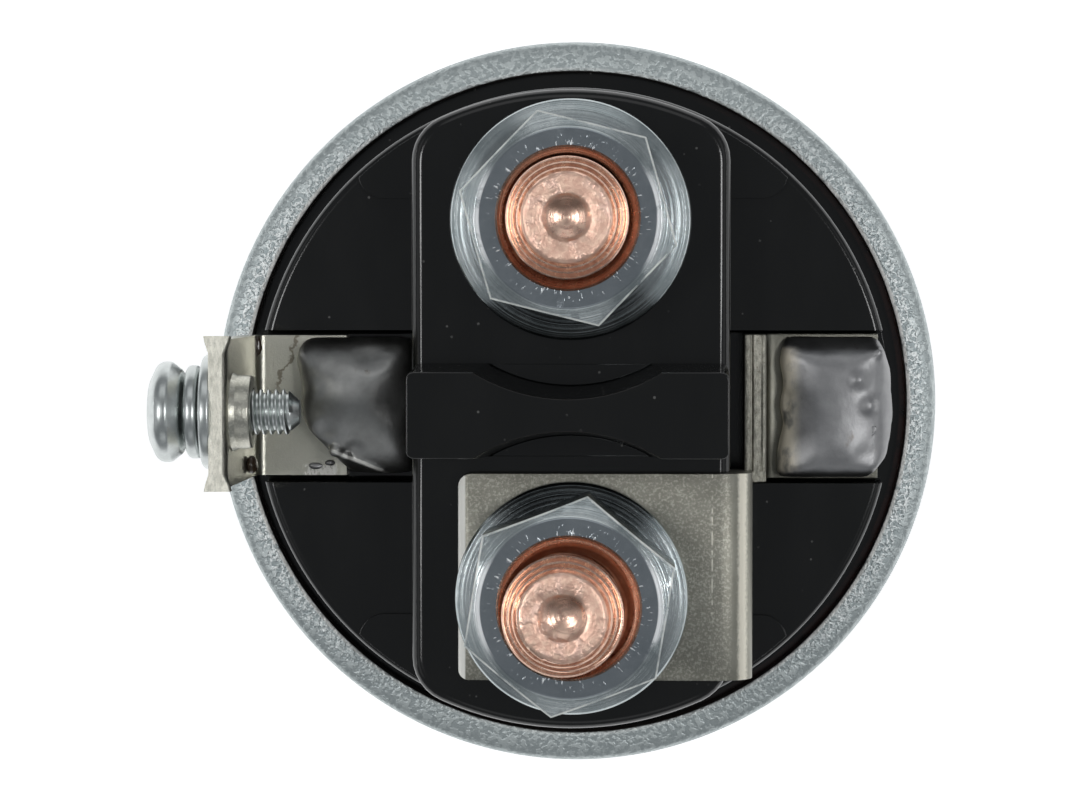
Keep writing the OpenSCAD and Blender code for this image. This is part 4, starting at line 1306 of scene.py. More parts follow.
@dataclass
class Cap:
    """The black moulded cap with its wings, channels, plateau and barrier."""

    bench: Bench
    seat_r: float = 23.85
    seat_low: float = 46.5
    seat_top: float = 54.45
    crown_r: float = 21.9
    wing_z: float = 63.0
    plateau_low: float = 55.0
    plateau_z: float = 69.0
    plateau_half: float = 10.7
    plateau_r: float = 21.5
    corner: float = 3.2
    edge: float = 0.8
    channel_half: float = 5.25
    channel_z: float = 59.8
    channel_reach: Point2 = (9.0, 24.0)
    barrier_low: float = 66.0
    barrier_z: float = 78.0
    barrier_half: Point2 = (10.6, 3.25)
    barrier_taper: Point3 = (0.985, 0.86, 1)
    scoop_r: Point2 = (11.1, 11.75)
    stud_y: float = 12.75
    roof_z: float = 57.0
    chamber_half: Point2 = (15.4, 24.0)
    chamber_r: float = 19.4
    pocket_r: float = 5.2

    def plateau_outline(self) -> list[Point2]:
        """The plateau seen from above, with round corners.

        Returns:
            The outline's points.
        """
        half, r, corner = self.plateau_half, self.plateau_r, self.corner
        x = half - corner
        y = math.sqrt((r - corner) ** 2 - x**2)
        lean = math.degrees(math.atan2(y, x))
        one = [
            *arc(x, y, corner, 0, lean, 6), *arc(0, 0, r, lean, 180 - lean, 24)[1:-1],
            *arc(-x, y, corner, 180 - lean, 180, 6),
        ]
        return [(px * end, py * end) for end in (1, -1) for px, py in one]

    def plateau(self) -> bpy.types.Object:
        """The raised block, with generously rounded upper edges.

        Returns:
            The block.
        """
        top = self.plateau_z
        block = self.bench.plan(self.plateau_outline(), self.plateau_low, top)
        self.bench.round_edges(block, self.edge, 8, lambda p, d: p.z > top - 1e-3)
        return block

    def barrier(self) -> bpy.types.Object:
        """The wall between the studs, scooped where each nut's socket turns.

        Returns:
            The wall.
        """
        bench, (x, y) = self.bench, self.barrier_half
        wall = bench.block((-x, -y, self.barrier_low), (x, y, self.barrier_z))
        bench.taper(wall, 1, self.barrier_taper)
        bench.round_edges(wall, 0.5, 4, lambda p, d: abs(d.z) > 0.9)
        low, high, (low_r, high_r) = self.plateau_z + 0.02, self.barrier_z + 1.0, self.scoop_r
        for end in (-1, 1):
            scoop = bench.lathe([(0, low), (low_r, low), (high_r, high), (0, high)], 96)
            bench.combine(wall, Cut.TAKE, bench.shape(scoop, (0, end * self.stud_y, 0)))
        bench.soften(wall, 0.38, 4, 28)
        return wall

    def pad(self, x_side: int, y_side: int) -> bpy.types.Object:
        """One slightly raised corner pad on a wing.

        Args:
            x_side, y_side: 1 or -1, which corner it is for.

        Returns:
            The pad.
        """
        bench, top = self.bench, self.wing_z
        outline = softened([(6.1, 14.3, 1.4), (14.7, 14.3, 1.7), (14.7, 21.9, 1.0), (6.1, 21.9, 1.4)], 8)
        pad = bench.plan(outline, top - 1.0, top + 0.55)
        bench.combine(pad, Cut.KEEP, bench.rod(self.plateau_r, top - 3.0, top + 3.0, 96))
        bench.soften(pad, 0.5, 6, 28)
        return bench.shape(pad, scale=(x_side, y_side, 1))

    def build(self) -> bpy.types.Object:
        """Builds the cap.

        Returns:
            The finished moulding.
        """
        bench, top, floor, half = self.bench, self.wing_z, self.channel_z, self.channel_half
        profile = softened(
            [
                (0, self.seat_low), (self.seat_r, self.seat_low, 0.3), (self.seat_r, self.seat_top, 0.3),
                (self.crown_r + 0.03, self.seat_top, 0.35), (self.crown_r, top, 0.62), (0, top),
            ],
            8,
        )
        cap = bench.lathe(profile, 160)
        for side in (-1, 1):
            near, far = sorted(side * x for x in self.channel_reach)
            channel = bench.block((near, -half, floor), (far, half, 70.0))
            bench.round_edges(channel, 0.35, 3, lambda p, d: abs(d.x) > 0.9 and p.z < floor + 0.7)
            bench.combine(cap, Cut.TAKE, channel)
        for x_side in (-1, 1):
            for y_side in (-1, 1):
                pad = self.pad(x_side, y_side)
                with bench.editing(pad):
                    bench.close()
                bench.combine(cap, Cut.ADD, pad)

        def channel_edge(p: Vector, d: Vector) -> bool:
            """Whether an edge runs along a channel's upper side."""
            return abs(p.z - top) < 1e-3 and abs(abs(p.y) - half) < 1e-3 and abs(d.x) > 0.99

        bench.round_edges(cap, 0.14, 2, channel_edge)
        bench.combine(cap, Cut.ADD, self.plateau(), self.barrier())
        x, y = self.chamber_half
        chamber = bench.block((-x, -y, 40.0), (x, y, self.roof_z))
        bench.combine(chamber, Cut.KEEP, bench.rod(self.chamber_r, 39, 60, 96))
        bench.combine(cap, Cut.TAKE, chamber, bench.rod(self.pocket_r, 56, 63))
        bench.finish(cap, "moulded_cap", "frame", CAP, ["terminal_cap"], 32)
        bench.modify(cap, "WEIGHTED_NORMAL", keep_sharp=True)
        return cap


@dataclass(frozen=True)
class Terminal:
    """Where one stud and its nut stand, and how far the stud leans and the nut is shifted."""

    name: str
    y: float
    nut_low: float
    flange_r: float
    turn: float
    lean: Point2 = (0.0, 0.0)
    shift: Point2 = (0.0, 0.0)


@dataclass
class StudsAndNuts:
    """The two copper studs and their flange nuts."""

    bench: Bench
    root_r: float = 3.42
    crest_r: float = 3.98
    shank_r: float = 3.95
    pitch: float = 1.25
    head_r: float = 6.25
    head_half: Point2 = (5.2, 7.0)
    head_low: float = 52.0
    head_top: float = 58.0
    tip_z: float = 80.5
    dip: float = 0.16
    nut_h: float = 8.0
    hex_r: float = 6.32 / math.cos(math.pi / 6)
    dome_h: float = 0.85
    top_r: float = 5.8
    bore_r: float = 4.05
    sink_r: float = 4.62
    terminals: tuple[Terminal, ...] = (
        Terminal("battery", 12.75, 69.0, 8.05, 46.0),
        Terminal("motor", -12.75, 70.5, 7.75, 20.6, (-0.30, -0.16), (0.12, 0.33)),
    )

    def thread(self, low: float, high: float) -> bpy.types.Object:
        """The helical ridge of a stud.

        Args:
            low, high: the heights that it runs between.

        Returns:
            The ridge.
        """
        half, inner = self.pitch / 2, self.root_r - 0.3
        section = [
            (inner, 0.02), (self.root_r, 0.05), (self.crest_r, half - 0.1), (self.crest_r, half + 0.1),
            (self.root_r, self.pitch - 0.05), (inner, self.pitch - 0.02),
        ]
        return self.bench.coil(section, self.pitch, (high - low) / self.pitch - 1, low, 48)

    def shank(self) -> bpy.types.Object:
        """One stud's shank at the middle: thread, and a point with turned ridges and a centre mark.

        Returns:
            The shank, not yet in its place.
        """
        bench, tip, bowl, low = self.bench, self.tip_z, 2.5, self.tip_z - 0.62
        mark = [(1.66, tip), (1.55, tip - 0.04), (1.42, tip - 0.2), *arc(0, low + bowl, bowl, 298, 271, 8)]
        ridges = [
            (3.90, 78.5), (3.98, 78.75), (3.96, 79.05), (3.84, 79.18), (3.70, 79.12), (3.62, 79.22),
            (3.60, 79.45), (3.48, 79.56), (3.36, 79.50), (3.28, 79.60), (3.26, 79.86), (3.15, 79.97),
            (3.04, 79.92), (2.97, 80.02), (2.94, 80.34), (2.82, 80.46), (2.66, 80.5),
        ]
        shank_low = self.head_low + 4.0
        profile = [
            (0, shank_low), (self.shank_r, shank_low), (self.shank_r, 67.6), (self.root_r, 68.2),
            (self.root_r, 78.1), *ridges, *((r, z - 0.04) for r, z in mark), (0, mark[-1][1] - 0.05),
        ]
        core = bench.lathe(profile, 96)
        bench.group(core, "face", lambda p: p.z > 79.5 and 1.5 < p.xy.length < 3.0)
        bench.roughen(core, 0.8, 0.12, "face")
        thread = self.thread(67.9, 78.95)
        envelope = bench.lathe([(0, 60), (4.0, 60), (4.0, 78.25), (3.5, 78.72), (0, 78.72)], 64)
        bench.combine(thread, Cut.KEEP, envelope)
        return bench.shape(bench.join(core, thread), (0, 0, -self.dip))

    def head(self) -> bpy.types.Object:
        """The flat-sided head of a stud, under the cap.

        Returns:
            The head.
        """
        bench, (x, y) = self.bench, self.head_half
        head = bench.block((-x, -y, self.head_low), (x, y, self.head_top))
        bench.combine(head, Cut.KEEP, bench.rod(self.head_r, 50, 60))
        bench.soften(head, 0.25, 2)
        return head

    def run_out(self, top: float) -> bpy.types.Object:
        """The last turn of a nut's thread, round the stud at the nut's top.

        Args:
            top: height of the nut's top.

        Returns:
            The ring.
        """
        drops = [
            (3.2, 1.6), (3.5, 1.0), (3.75, 0.78), (3.95, 0.70), (4.1, 0.5), (4.3, 0.34), (4.42, 0.30),
            (4.58, 0.14), (4.6, 0.3), (4.0, 1.2), (3.4, 1.9),
        ]
        return self.bench.lathe([(r, top - drop) for r, drop in drops], 96, True)

    def nut(self, flange_r: float) -> bpy.types.Object:
        """One flange nut, standing on the origin.

        Args:
            flange_r: radius of its flange.

        Returns:
            The nut, not yet in its place.
        """
        bench, high = self.bench, self.nut_h
        bpy.ops.object.select_all(action="DESELECT")
        bpy.ops.mesh.primitive_cylinder_add(
            vertices=6, radius=self.hex_r, depth=high, location=(0, 0, high / 2), rotation=(0, 0, math.pi / 6)
        )
        body = bench.added()
        rim_r, rim_z = self.hex_r + 0.05, high - self.dome_h
        slope = (rim_r - self.top_r) / self.dome_h
        low_z = rim_z - (9 - self.hex_r) / slope
        dome = bench.lathe([(0, -1), (9, -1), (9, low_z), (rim_r, rim_z), (self.top_r, high), (0, high)], 144)
        bench.combine(body, Cut.KEEP, dome)
        bench.soften(body, 0.22, 4, 12)
        skirt = [(0, 0), (flange_r, 0, 0.35), (flange_r, 1.25, 0.4), (6.3, 1.95, 0.6), (5.6, 2.6), (0, 2.6)]
        bench.combine(body, Cut.ADD, bench.lathe(softened(skirt, 4), 144))
        sink, drop = self.sink_r, self.sink_r - self.bore_r
        bore = [
            (0, -1), (4.5, -1), (4.5, 0), (self.bore_r, 0.45), (self.bore_r, high - drop - 0.12),
            (4.2, high - drop), (sink, high - 0.1), (sink + 0.12, high + 0.02), (sink + 0.12, high + 1),
            (0, high + 1),
        ]
        return bench.combine(body, Cut.TAKE, bench.lathe(bore, 96))

    def build(self) -> None:
        """Builds both studs and both nuts."""
        bench, low, shank = self.bench, self.head_low, self.shank()
        for one in self.terminals:
            top = one.nut_low + self.nut_h
            stud = bench.shape(bench.copy(shank), turn=180 if one.y > 0 else 0)
            for axis, shift in (("Y", one.lean[0]), ("X", -one.lean[1])):
                bench.shape(stud, (0, 0, -low))
                bench.shape(stud, (0, 0, low), math.degrees(math.atan(shift / (self.tip_z - low))), axis)
            bench.join(stud, bench.shape(self.run_out(top), (*one.shift, 0)))
            bench.shape(bench.join(stud, self.head()), (0, one.y, 0))
            finish = TurnedCopper("stud_copper", (0, one.y), nut_top=top)
            bench.finish(stud, f"{one.name}_stud_turned", "frame", finish, [f"{one.name}_stud"])
        bpy.data.objects.remove(shank, do_unlink=True)
        for one in self.terminals:
            x, y = one.shift[0], one.y + one.shift[1]
            nut = bench.shape(self.nut(one.flange_r), (x, y, one.nut_low), one.turn)
            finish = NutZinc("nut_zinc", (x, y), one.nut_low + self.nut_h, one.turn)
            bench.finish(nut, f"{one.name}_flange_nut", "frame", finish, [f"{one.name}_nut"], 28)


@dataclass
class BusPlate:
    """The tinned plate under the motor nut, its upright strip and the soldered tab."""

    bench: Bench
    top_z: float = 70.5
    low_z: float = 63.45
    thick: float = 1.5
    left_x: float = -7.5
    edge_x: float = 12.2
    front_y: float = -18.0
    back_y: float = -4.2
    bend_r: float = 2.2
    fold_r: float = 0.7
    strip_x: float = 13.2
    strip_top: float = 66.0
    strip_half: float = 5.0
    tab_x: float = 21.0
    tab_z: float = 59.85
    step_x: float = 10.95
    stud_y: float = 12.75
    hole_r: float = 4.1

    def plate(self) -> bpy.types.Object:
        """The flat plate with its rounded left edge, which carries a painted highlight, and its bend.

        Returns:
            The plate.
        """
        bench, t, left, top, out = self.bench, self.thick, self.left_x, self.top_z, self.bend_r
        bend_x, bend_z = self.edge_x - out, top - out
        bend = [
            (left, top - 0.5), (left + 0.03, top - 0.34), (left + 0.12, top - 0.22),
            (left + 0.24, top - 0.14), (left + 0.5, top - 0.045), (left + 0.68, top),
            *arc(bend_x, bend_z, out, 90, 0, 10), (self.edge_x, self.low_z), (self.edge_x - t, self.low_z),
            *arc(bend_x, bend_z, self.fold_r, 0, 90, 6), (left, top - t),
        ]
        y0, y1 = self.front_y, self.back_y
        plate = bench.side(bend, y0, y1)
        bench.round_edges(plate, 0.6, 3, lambda p, d: abs(d.x) > 0.9 and p.z < self.low_z + 0.01)
        hole = bench.shape(bench.rod(self.hole_r, 60, 80), (0, -self.stud_y, 0))
        bench.combine(plate, Cut.TAKE, hole)
        corners = softened([(left, y0, 0.7), (14.0, y0), (14.0, y1), (left, y1, 0.9)], 5)
        bench.combine(plate, Cut.KEEP, bench.plan(corners, 60.0, 72.0))
        bench.soften(plate, 0.16, 2, 35)
        return plate

    def strip(self) -> bpy.types.Object:
        """The upright strip with its rough sheared edge, and the tab that is soldered in.

        Returns:
            The strip.
        """
        bench, t, x, top, fold = self.bench, self.thick, self.strip_x, self.strip_top, self.fold_r
        sheared = [(0, 0.25), (0.22, 0.02), (0.34, 0.16), (0.62, 0.05), (0.86, 0), (0.98, 0.2), (1.2, 0.06)]
        outline = [
            (self.tab_x, self.tab_z), (self.tab_x, self.tab_z + t),
            *arc(x + fold, self.tab_z + t + fold, fold, 270, 180, 5),
            *((x - inset, top - drop) for inset, drop in sheared), (x - t, top - 0.12),
            *arc(x + fold, self.tab_z + self.bend_r, self.bend_r, 180, 270, 8),
        ]
        strip = bench.side(outline, -self.strip_half, self.strip_half)
        bench.soften(strip, 0.13, 2, 35)
        return strip

    def build(self) -> bpy.types.Object:
        """Builds the plate, the strip and the step between them.

        Returns:
            The finished plate.
        """
        bench, gap = self.bench, 0.02
        plate, strip = self.plate(), self.strip()
        step = bench.block(
            (self.step_x, -self.strip_half + gap, self.low_z + gap),
            (self.strip_x - gap, self.back_y - gap, self.strip_top - gap),
        )
        bench.soften(step, 0.12, 2)
        bench.join(plate, strip, step)
        return bench.finish(plate, "tinned_bus_plate", "frame", TIN_BUS, ["bus_plate"], 32)


@dataclass
class SolderJoints:
    """The two sculpted solder mounds in the channels, with a few drops beside them."""

    bench: Bench
    cell: float = 0.22
    skin_cell: float = 0.17
    bead_cell: float = 0.14
    drops: tuple = (
        ((-21.75, -3.85, 66.3), (0.42, 0.62, 0.8), FLUX),
        ((-16.4, -3.1, 62.2), (0.34, 0.34, 0.34), SOLDER),
        ((-17.9, -4.2, 61.08), (0.5, 0.22, 0.14), SOLDER),
        ((-16.9, -4.0, 61.1), (0.35, 0.2, 0.2), SOLDER),
        ((-22.0, 4.1, 61.35), (0.4, 0.7, 0.25), FLUX),
    )

    def mound(
        self, outline: Sequence[tuple], along: Sequence[Point2], across: Sequence[Point2],
        pulls: Sequence[tuple[Point3, Point3, float]], rounds: int, beads: Sequence[Point3] = (),
    ) -> bpy.types.Object:
        """A soft mound, the common part of three outlines, run smooth and pulled into shape.

        Args:
            outline: its foot, seen from above, as (x, y, radius) corners.
            along: its outline in X and Z.
            across: its outline in Y and Z.
            pulls: (place, move, reach) of each pull.
            rounds: how many times it is smoothed before the pulls.
            beads: (x, y, radius) of each bead that is half sunk in its surface.

        Returns:
            The mound, in millimetres.
        """
        bench = self.bench
        mound = bench.plan(softened(outline, 4), 60.0, 66.0)
        bench.combine(mound, Cut.KEEP, bench.side(along, -6.0, 6.0))
        bench.combine(mound, Cut.KEEP, bench.prism([(-24.0, y, z) for y, z in across], (48.0, 0, 0)))
        bench.flow(mound, self.cell, rounds)
        for place, move, reach in pulls:
            bench.pull(mound, place, move, reach)
        for x, y, radius in beads:
            bpy.ops.object.select_all(action="DESELECT")
            place = (x, y, bench.height(mound, x, y))
            bpy.ops.mesh.primitive_uv_sphere_add(segments=16, ring_count=10, radius=radius, location=place)
            bench.join(mound, bench.added())
        bench.flow(mound, self.bead_cell if beads else self.skin_cell, 3)
        bench.roughen(mound, 2.4, 0.10)
        return mound

    def motor_joint(self) -> bpy.types.Object:
        """The joint over the bus plate's tab, with a small curl of solder on it.

        Returns:
            The finished joint.
        """
        bench = self.bench
        outline = [
            (14.0, -4.9, 0.5), (20.4, -4.9, 1.0), (21.6, -3.4, 0.9), (22.1, -0.6, 1.5), (21.9, 2.4, 1.0),
            (21.0, 4.9, 0.6), (14.5, 4.9, 0.4), (14.2, 3.0, 0.6), (14.5, 1.6, 0.5), (14.2, 0.2, 0.5),
            (14.5, -1.2, 0.5), (14.1, -2.6, 0.6),
        ]
        along = [
            (13.8, 61.3), (14.1, 62.35), (14.6, 62.75), (15.2, 63.0), (15.9, 63.25), (16.7, 63.45),
            (18.0, 63.55), (19.4, 63.46), (20.3, 63.24), (21.0, 62.95), (21.5, 62.6), (21.9, 61.9),
            (22.2, 61.3),
        ]
        across = [
            (-5.0, 61.2), (-4.85, 62.2), (-4.6, 62.85), (-4.1, 63.25), (-3.0, 63.5), (0.0, 63.62),
            (2.6, 63.5), (3.5, 63.2), (4.0, 62.7), (4.35, 62.1), (5.0, 61.6), (5.0, 61.2),
        ]
        pulls = [
            ((19.6, 1.9, 63.4), (0, 0, 0.22), 0.9), ((20.3, 0.1, 63.2), (0.1, 0, 0.25), 0.9),
            ((20.9, 3.6, 62.6), (0.1, 0.1, 0.35), 0.8), ((14.6, 0.8, 62.8), (0.1, 0, -0.22), 0.45),
            ((14.6, 0.0, 62.8), (0.1, 0, -0.18), 0.4), ((20.0, -3.4, 63.2), (0, 0, -0.15), 1.2),
        ]
        joint = self.mound(outline, along, across, pulls, 14)
        ring = softened([(0.2, 62.6, 0.05), (0.44, 62.6, 0.1), (0.44, 63.16, 0.1), (0.2, 63.16, 0.08)], 3)
        curl = bench.lathe(ring, 24, True)
        bench.join(joint, bench.shape(curl, (20.3, -1.75, 0), scale=(1.5, 0.8, 1), turn=40))
        return bench.finish(joint, "motor_solder_joint", "frame", SOLDER, ["motor_solder"], 60)

    def trigger_joint(self) -> bpy.types.Object:
        """The joint over the bracket's base, with a fold of beads and a foot under the bracket.

        Returns:
            The finished joint.
        """
        bench = self.bench
        outline = [
            (-10.9, -5.0, 0.3), (-10.9, 5.0, 0.3), (-18.9, 5.0, 1.0), (-19.4, 3.0, 0.7), (-18.6, 1.6, 0.8),
            (-19.0, 0.0, 0.8), (-18.4, -1.6, 0.6), (-17.2, -2.7, 0.8), (-16.4, -3.8, 0.5), (-15.4, -4.9, 0.6),
        ]
        along = [
            (-19.7, 60.5), (-19.45, 61.6), (-19.1, 62.5), (-18.6, 63.2), (-17.9, 63.75), (-16.8, 64.15),
            (-15.2, 64.35), (-13.8, 64.3), (-12.7, 64.0), (-11.9, 63.5), (-11.2, 62.6), (-10.8, 60.5),
        ]
        across = [
            (-5.2, 60.3), (-4.9, 61.2), (-4.3, 62.1), (-3.4, 62.9), (-2.0, 63.65), (-0.4, 64.15),
            (1.0, 64.3), (2.2, 64.1), (3.2, 63.5), (4.1, 62.6), (4.8, 61.5), (5.2, 60.3),
        ]
        pulls = [
            ((-17.6, 1.3, 63.4), (0, 0, 0.25), 1.0), ((-15.0, -2.8, 63.1), (0, 0, -0.25), 0.9),
            ((-12.3, 0.5, 63.6), (0, 0, -0.3), 2.2), ((-16.9, -1.4, 63.0), (0, 0, -0.3), 1.0),
            ((-14.0, 3.6, 63.4), (0, 0, -0.3), 1.6),
        ]
        beads = [
            (-16.3, -3.0, 0.52), (-15.9, -3.35, 0.34), (-15.6, -3.46, 0.30), (-15.3, -3.6, 0.29),
            (-15.0, -3.72, 0.28), (-14.7, -3.85, 0.28), (-14.4, -3.98, 0.27), (-14.1, -4.1, 0.26),
            (-13.8, -4.2, 0.25), (-13.5, -4.3, 0.24), (-13.2, -4.4, 0.22),
        ]
        joint = self.mound(outline, along, across, pulls, 110, beads)
        foot = bench.block((-15.7, -4.65, 59.82), (-11.1, 4.65, 61.2))
        bench.soften(foot, 0.4, 3)
        bench.join(joint, foot)
        return bench.finish(joint, "trigger_solder_joint", "frame", DULL_SOLDER, ["trigger_solder"], 60)

    def build(self) -> None:
        """Builds both joints and the drops."""
        self.motor_joint()
        self.trigger_joint()
        for count, (place, radii, finish) in enumerate(self.drops, 1):
            bpy.ops.object.select_all(action="DESELECT")
            bpy.ops.mesh.primitive_uv_sphere_add(
                segments=24, ring_count=16, radius=1, location=place, scale=radii
            )
            drop = self.bench.added()
            self.bench.roughen(drop, 0.5, 0.14)
            self.bench.finish(drop, f"splash_{count}", "frame", finish, [], 60)


@dataclass
class TriggerTerminal:
    """The tinned bracket with its tapped collar, the pan head screw and the two washers."""

    bench: Bench
    inner_x: float = -21.95
    outer_x: float = -23.15
    base_x: float = -15.75
    floor_z: float = 59.8
    top_z: float = 76.0
    half_w: float = 5.05
    fold_r: float = 0.6
    axis_z: float = 72.6
    collar_r: float = 2.45
    collar_len: float = 1.3
    hole_r: float = 1.58
    screw_r: float = 1.5
    pitch: float = 0.5
    head_r: float = 3.45
    head_h: float = 2.40
    slot_half: Point2 = (1.9, 0.45)
    slot_turn: float = 18.0
    screw_len: float = 7.5
    lean: float = -1.4
    foot_h: float = 2.0
    plain_r: float = 3.8
    plain_t: float = 0.80
    split_r: float = 3.1
    split_t: float = 1.12

    @property
    def slant(self) -> float:
        """How far the upright leans out for each millimetre of height."""
        return math.tan(math.radians(self.lean))

    @property
    def face_x(self) -> float:
        """Where the upright's outer face stands at the screw's height."""
        return self.outer_x + (self.axis_z - self.floor_z - self.foot_h) * self.slant

    def onto_axis(self, piece: bpy.types.Object, x: float) -> bpy.types.Object:
        """Turns a piece that stands on z = 0 towards the left, at the screw's height."""
        return self.bench.shape(piece, (x, 0, self.axis_z), -90, "Y")

    def bracket(self) -> bpy.types.Object:
        """The bent bracket.

        Returns:
            The finished bracket.
        """
        bench, t, fold = self.bench, self.inner_x - self.outer_x, self.fold_r
        low, top, half = self.floor_z, self.top_z, self.half_w
        inner, long = self.inner_x, self.collar_len
        outline = [
            (self.base_x, low), (self.base_x, low + t), *arc(inner + fold, low + t + fold, fold, 270, 180, 6),
            (inner, top - 0.5), (inner - 0.08, top - 0.2), (inner - 0.3, top), (self.outer_x, top),
            *arc(inner + fold, low + t + fold, fold + t, 180, 270, 10),
        ]
        bracket = bench.side(outline, -half + 0.2, half - 0.2)
        loops = [(0, side * (half - inset), 0) for side in (-1, 1) for inset in (0.55, 1.1, 2.0)]
        bench.slice(bracket, loops, (0, 1, 0))
        bench.slice(bracket, [(0, 0, top - drop) for drop in (0.5, 1.2)], (0, 0, 1))
        r = self.collar_r
        rounded = softened([(0, -0.3), (r + 0.3, -0.3), (r, 0.35, 0.2), (r - 0.05, long, 0.16), (0, long)], 3)
        collar = bench.shape(bench.lathe(rounded, 64), (inner, 0, self.axis_z), 90, "Y")
        bench.combine(bracket, Cut.ADD, collar)
        bench.combine(bracket, Cut.TAKE, self.onto_axis(bench.rod(self.hole_r, -4, 4, 48), inner))
        bench.soften(bracket, 0.13, 2, 35)
        for side in (-1, 1):
            for x, out in ((inner - 0.3, 0.5), (self.outer_x, -0.34)):
                bench.pull(bracket, (x, side * half, top), (out, side * 0.24, 0.0), 1.0)
        self.tilt(bracket)
        return bench.finish(bracket, "formed_bracket", "frame", TIN, ["trigger_bracket"], 32)

    def tilt(self, piece: bpy.types.Object) -> None:
        """Leans the upright outwards, more and more towards its top.

        Args:
            piece: the bracket.
        """
        foot, reach = self.floor_z + self.foot_h, self.inner_x + self.collar_len + 0.1
        with self.bench.editing(piece, False):
            mesh = bmesh.from_edit_mesh(piece.data)
            for vertex in mesh.verts:
                if vertex.co.x < reach and vertex.co.z > foot:
                    vertex.co.x += (vertex.co.z - foot) * self.slant
            bmesh.update_edit_mesh(piece.data)

    def screw(self) -> bpy.types.Object:
        """The pan head screw, with its thread and cross recess.

        Returns:
            The finished screw.
        """
        bench, high, edge, long = self.bench, self.head_h, self.head_r - 0.1, self.screw_len
        pan = [
            (0, -0.3), (1.9, -0.3), (1.95, 0.0, 0.1), (2.75, 0.25, 0.5), (edge, 1.0, 0.45), (edge, 1.8, 0.75),
            (2.1, high, 0.8), (0, high),
        ]
        head = bench.lathe(softened(pan, 6), 96)
        x, y = self.slot_half
        for turn in (0, 90):
            slot = bench.block((-x, -y, high - 1.4), (x, y, high + 1))
            bench.taper(slot, -1, (0.45, 0.7, 1))
            bench.combine(head, Cut.TAKE, bench.shape(slot, turn=turn + self.slot_turn))
        bench.soften(head, 0.07, 2, 40)
        root, crest, pitch = self.screw_r - 0.27, self.screw_r, self.pitch
        core = [(0, -long), (root - 0.45, -long), (root, 0.55 - long, 0.2), (root, 0.1), (0, 0.1)]
        shank = bench.lathe(softened(core, 2), 48)
        half, inner = pitch / 2, root - 0.15
        section = [
            (inner, 0.03), (root, 0.05), (crest, half - 0.05), (crest, half + 0.05), (root, pitch - 0.05),
            (inner, pitch - 0.03),
        ]
        thread = bench.coil(section, pitch, 12.6, 0.2 - long)
        tip = [(0, -8), (root - 0.3, 0.2 - long), (crest, 0.8 - long), (crest + 0.1, 0), (0, 0)]
        bench.combine(thread, Cut.KEEP, bench.lathe(tip, 48))
        bench.join(head, shank, thread)
        self.onto_axis(head, self.face_x - self.plain_t - self.split_t)
        return bench.finish(head, "pan_head_screw", "frame", SCREW, ["trigger_screw"], 40)

    def washers(self) -> None:
        """The plain washer and the split spring washer."""
        bench, r, t, bore = self.bench, self.plain_r, self.plain_t, 1.65
        ring = softened([(bore, 0, 0.08), (r, 0, 0.2), (r, t, 0.3), (bore, t, 0.08)], 4)
        plain = self.onto_axis(bench.lathe(ring, 96, True), self.face_x)
        bench.finish(plain, "flat_washer", "frame", SCREW, ["plain_washer"], 40)
        r, thick, bore = self.split_r, self.split_t - 0.2, 1.7
        section = softened([(bore, 0.0, 0.15), (r, 0.0, 0.35), (r, thick, 0.35), (bore, thick, 0.15)], 4)
        split = bench.shape(bench.coil(section, 0.18, 0.94, 0.01, 72), turn=130)
        self.onto_axis(split, self.face_x - t)
        bench.finish(split, "split_washer", "frame", SCREW, ["spring_washer"], 40)

    def build(self) -> None:
        """Builds the terminal."""
        self.bracket()
        self.screw()
        self.washers()


@dataclass
class PlungerSet:
    """The plunger and the flat eye that the shift lever works in."""

    bench: Bench
    plunger_r: float = 10.5
    low_z: float = -10.0
    top_z: float = 18.2
    chamfer: float = 0.8
    bore_r: float = 6.4
    floor_z: float = 8.2
    stem_r: float = 4.5
    stem_top: float = -2.0
    eye_half: float = 7.0
    eye_t: float = 7.0
    eye_low: float = -30.0
    window: tuple[float, float, float, float] = (-3.6, 3.6, -27.0, -16.0)

    def build(self) -> None:
        """Builds the plunger and its eye."""
        bench, r, bore, low, top, cut = (
            self.bench, self.plunger_r, self.bore_r, self.low_z, self.top_z, self.chamfer
        )
        socket = self.stem_r + 0.05
        profile = [
            (0, self.stem_top), (socket, self.stem_top), (socket, low, 0.2), (r - cut, low, 0.15),
            (r, low + cut, 0.3), (r, top - cut, 0.3), (r - cut, top, 0.15), (bore, top, 0.3),
            (bore, self.floor_z), (0, self.floor_z),
        ]
        plunger = bench.lathe(softened(profile, 3), 128)
        bench.finish(plunger, "turned_plunger", "plunger_set", STEEL, ["plunger"])
        half, end = self.eye_half, self.eye_low
        outline = [*arc(0, end + half, half, 180, 360, 24), (half, low - 0.05), (-half, low - 0.05)]
        eye = bench.prism([(-self.eye_t / 2, y, z) for y, z in outline], (self.eye_t, 0, 0))
        y0, y1, z0, z1 = self.window
        window = softened([(y0, z0, 1), (y1, z0, 1), (y1, z1, 1), (y0, z1, 1)], 5)
        bench.combine(eye, Cut.TAKE, bench.prism([(-6, y, z) for y, z in window], (12, 0, 0)))
        bench.soften(eye, 0.45, 3, 35)
        foot, tip = low - 0.3, self.stem_top - 0.05
        stem = [(0, foot), (self.stem_r, foot), (self.stem_r, tip, 0.4), (0, tip)]
        bench.join(eye, bench.lathe(softened(stem, 3), 64))
        bench.finish(eye, "formed_eye", "plunger_set", STEEL, ["lever_eye"])


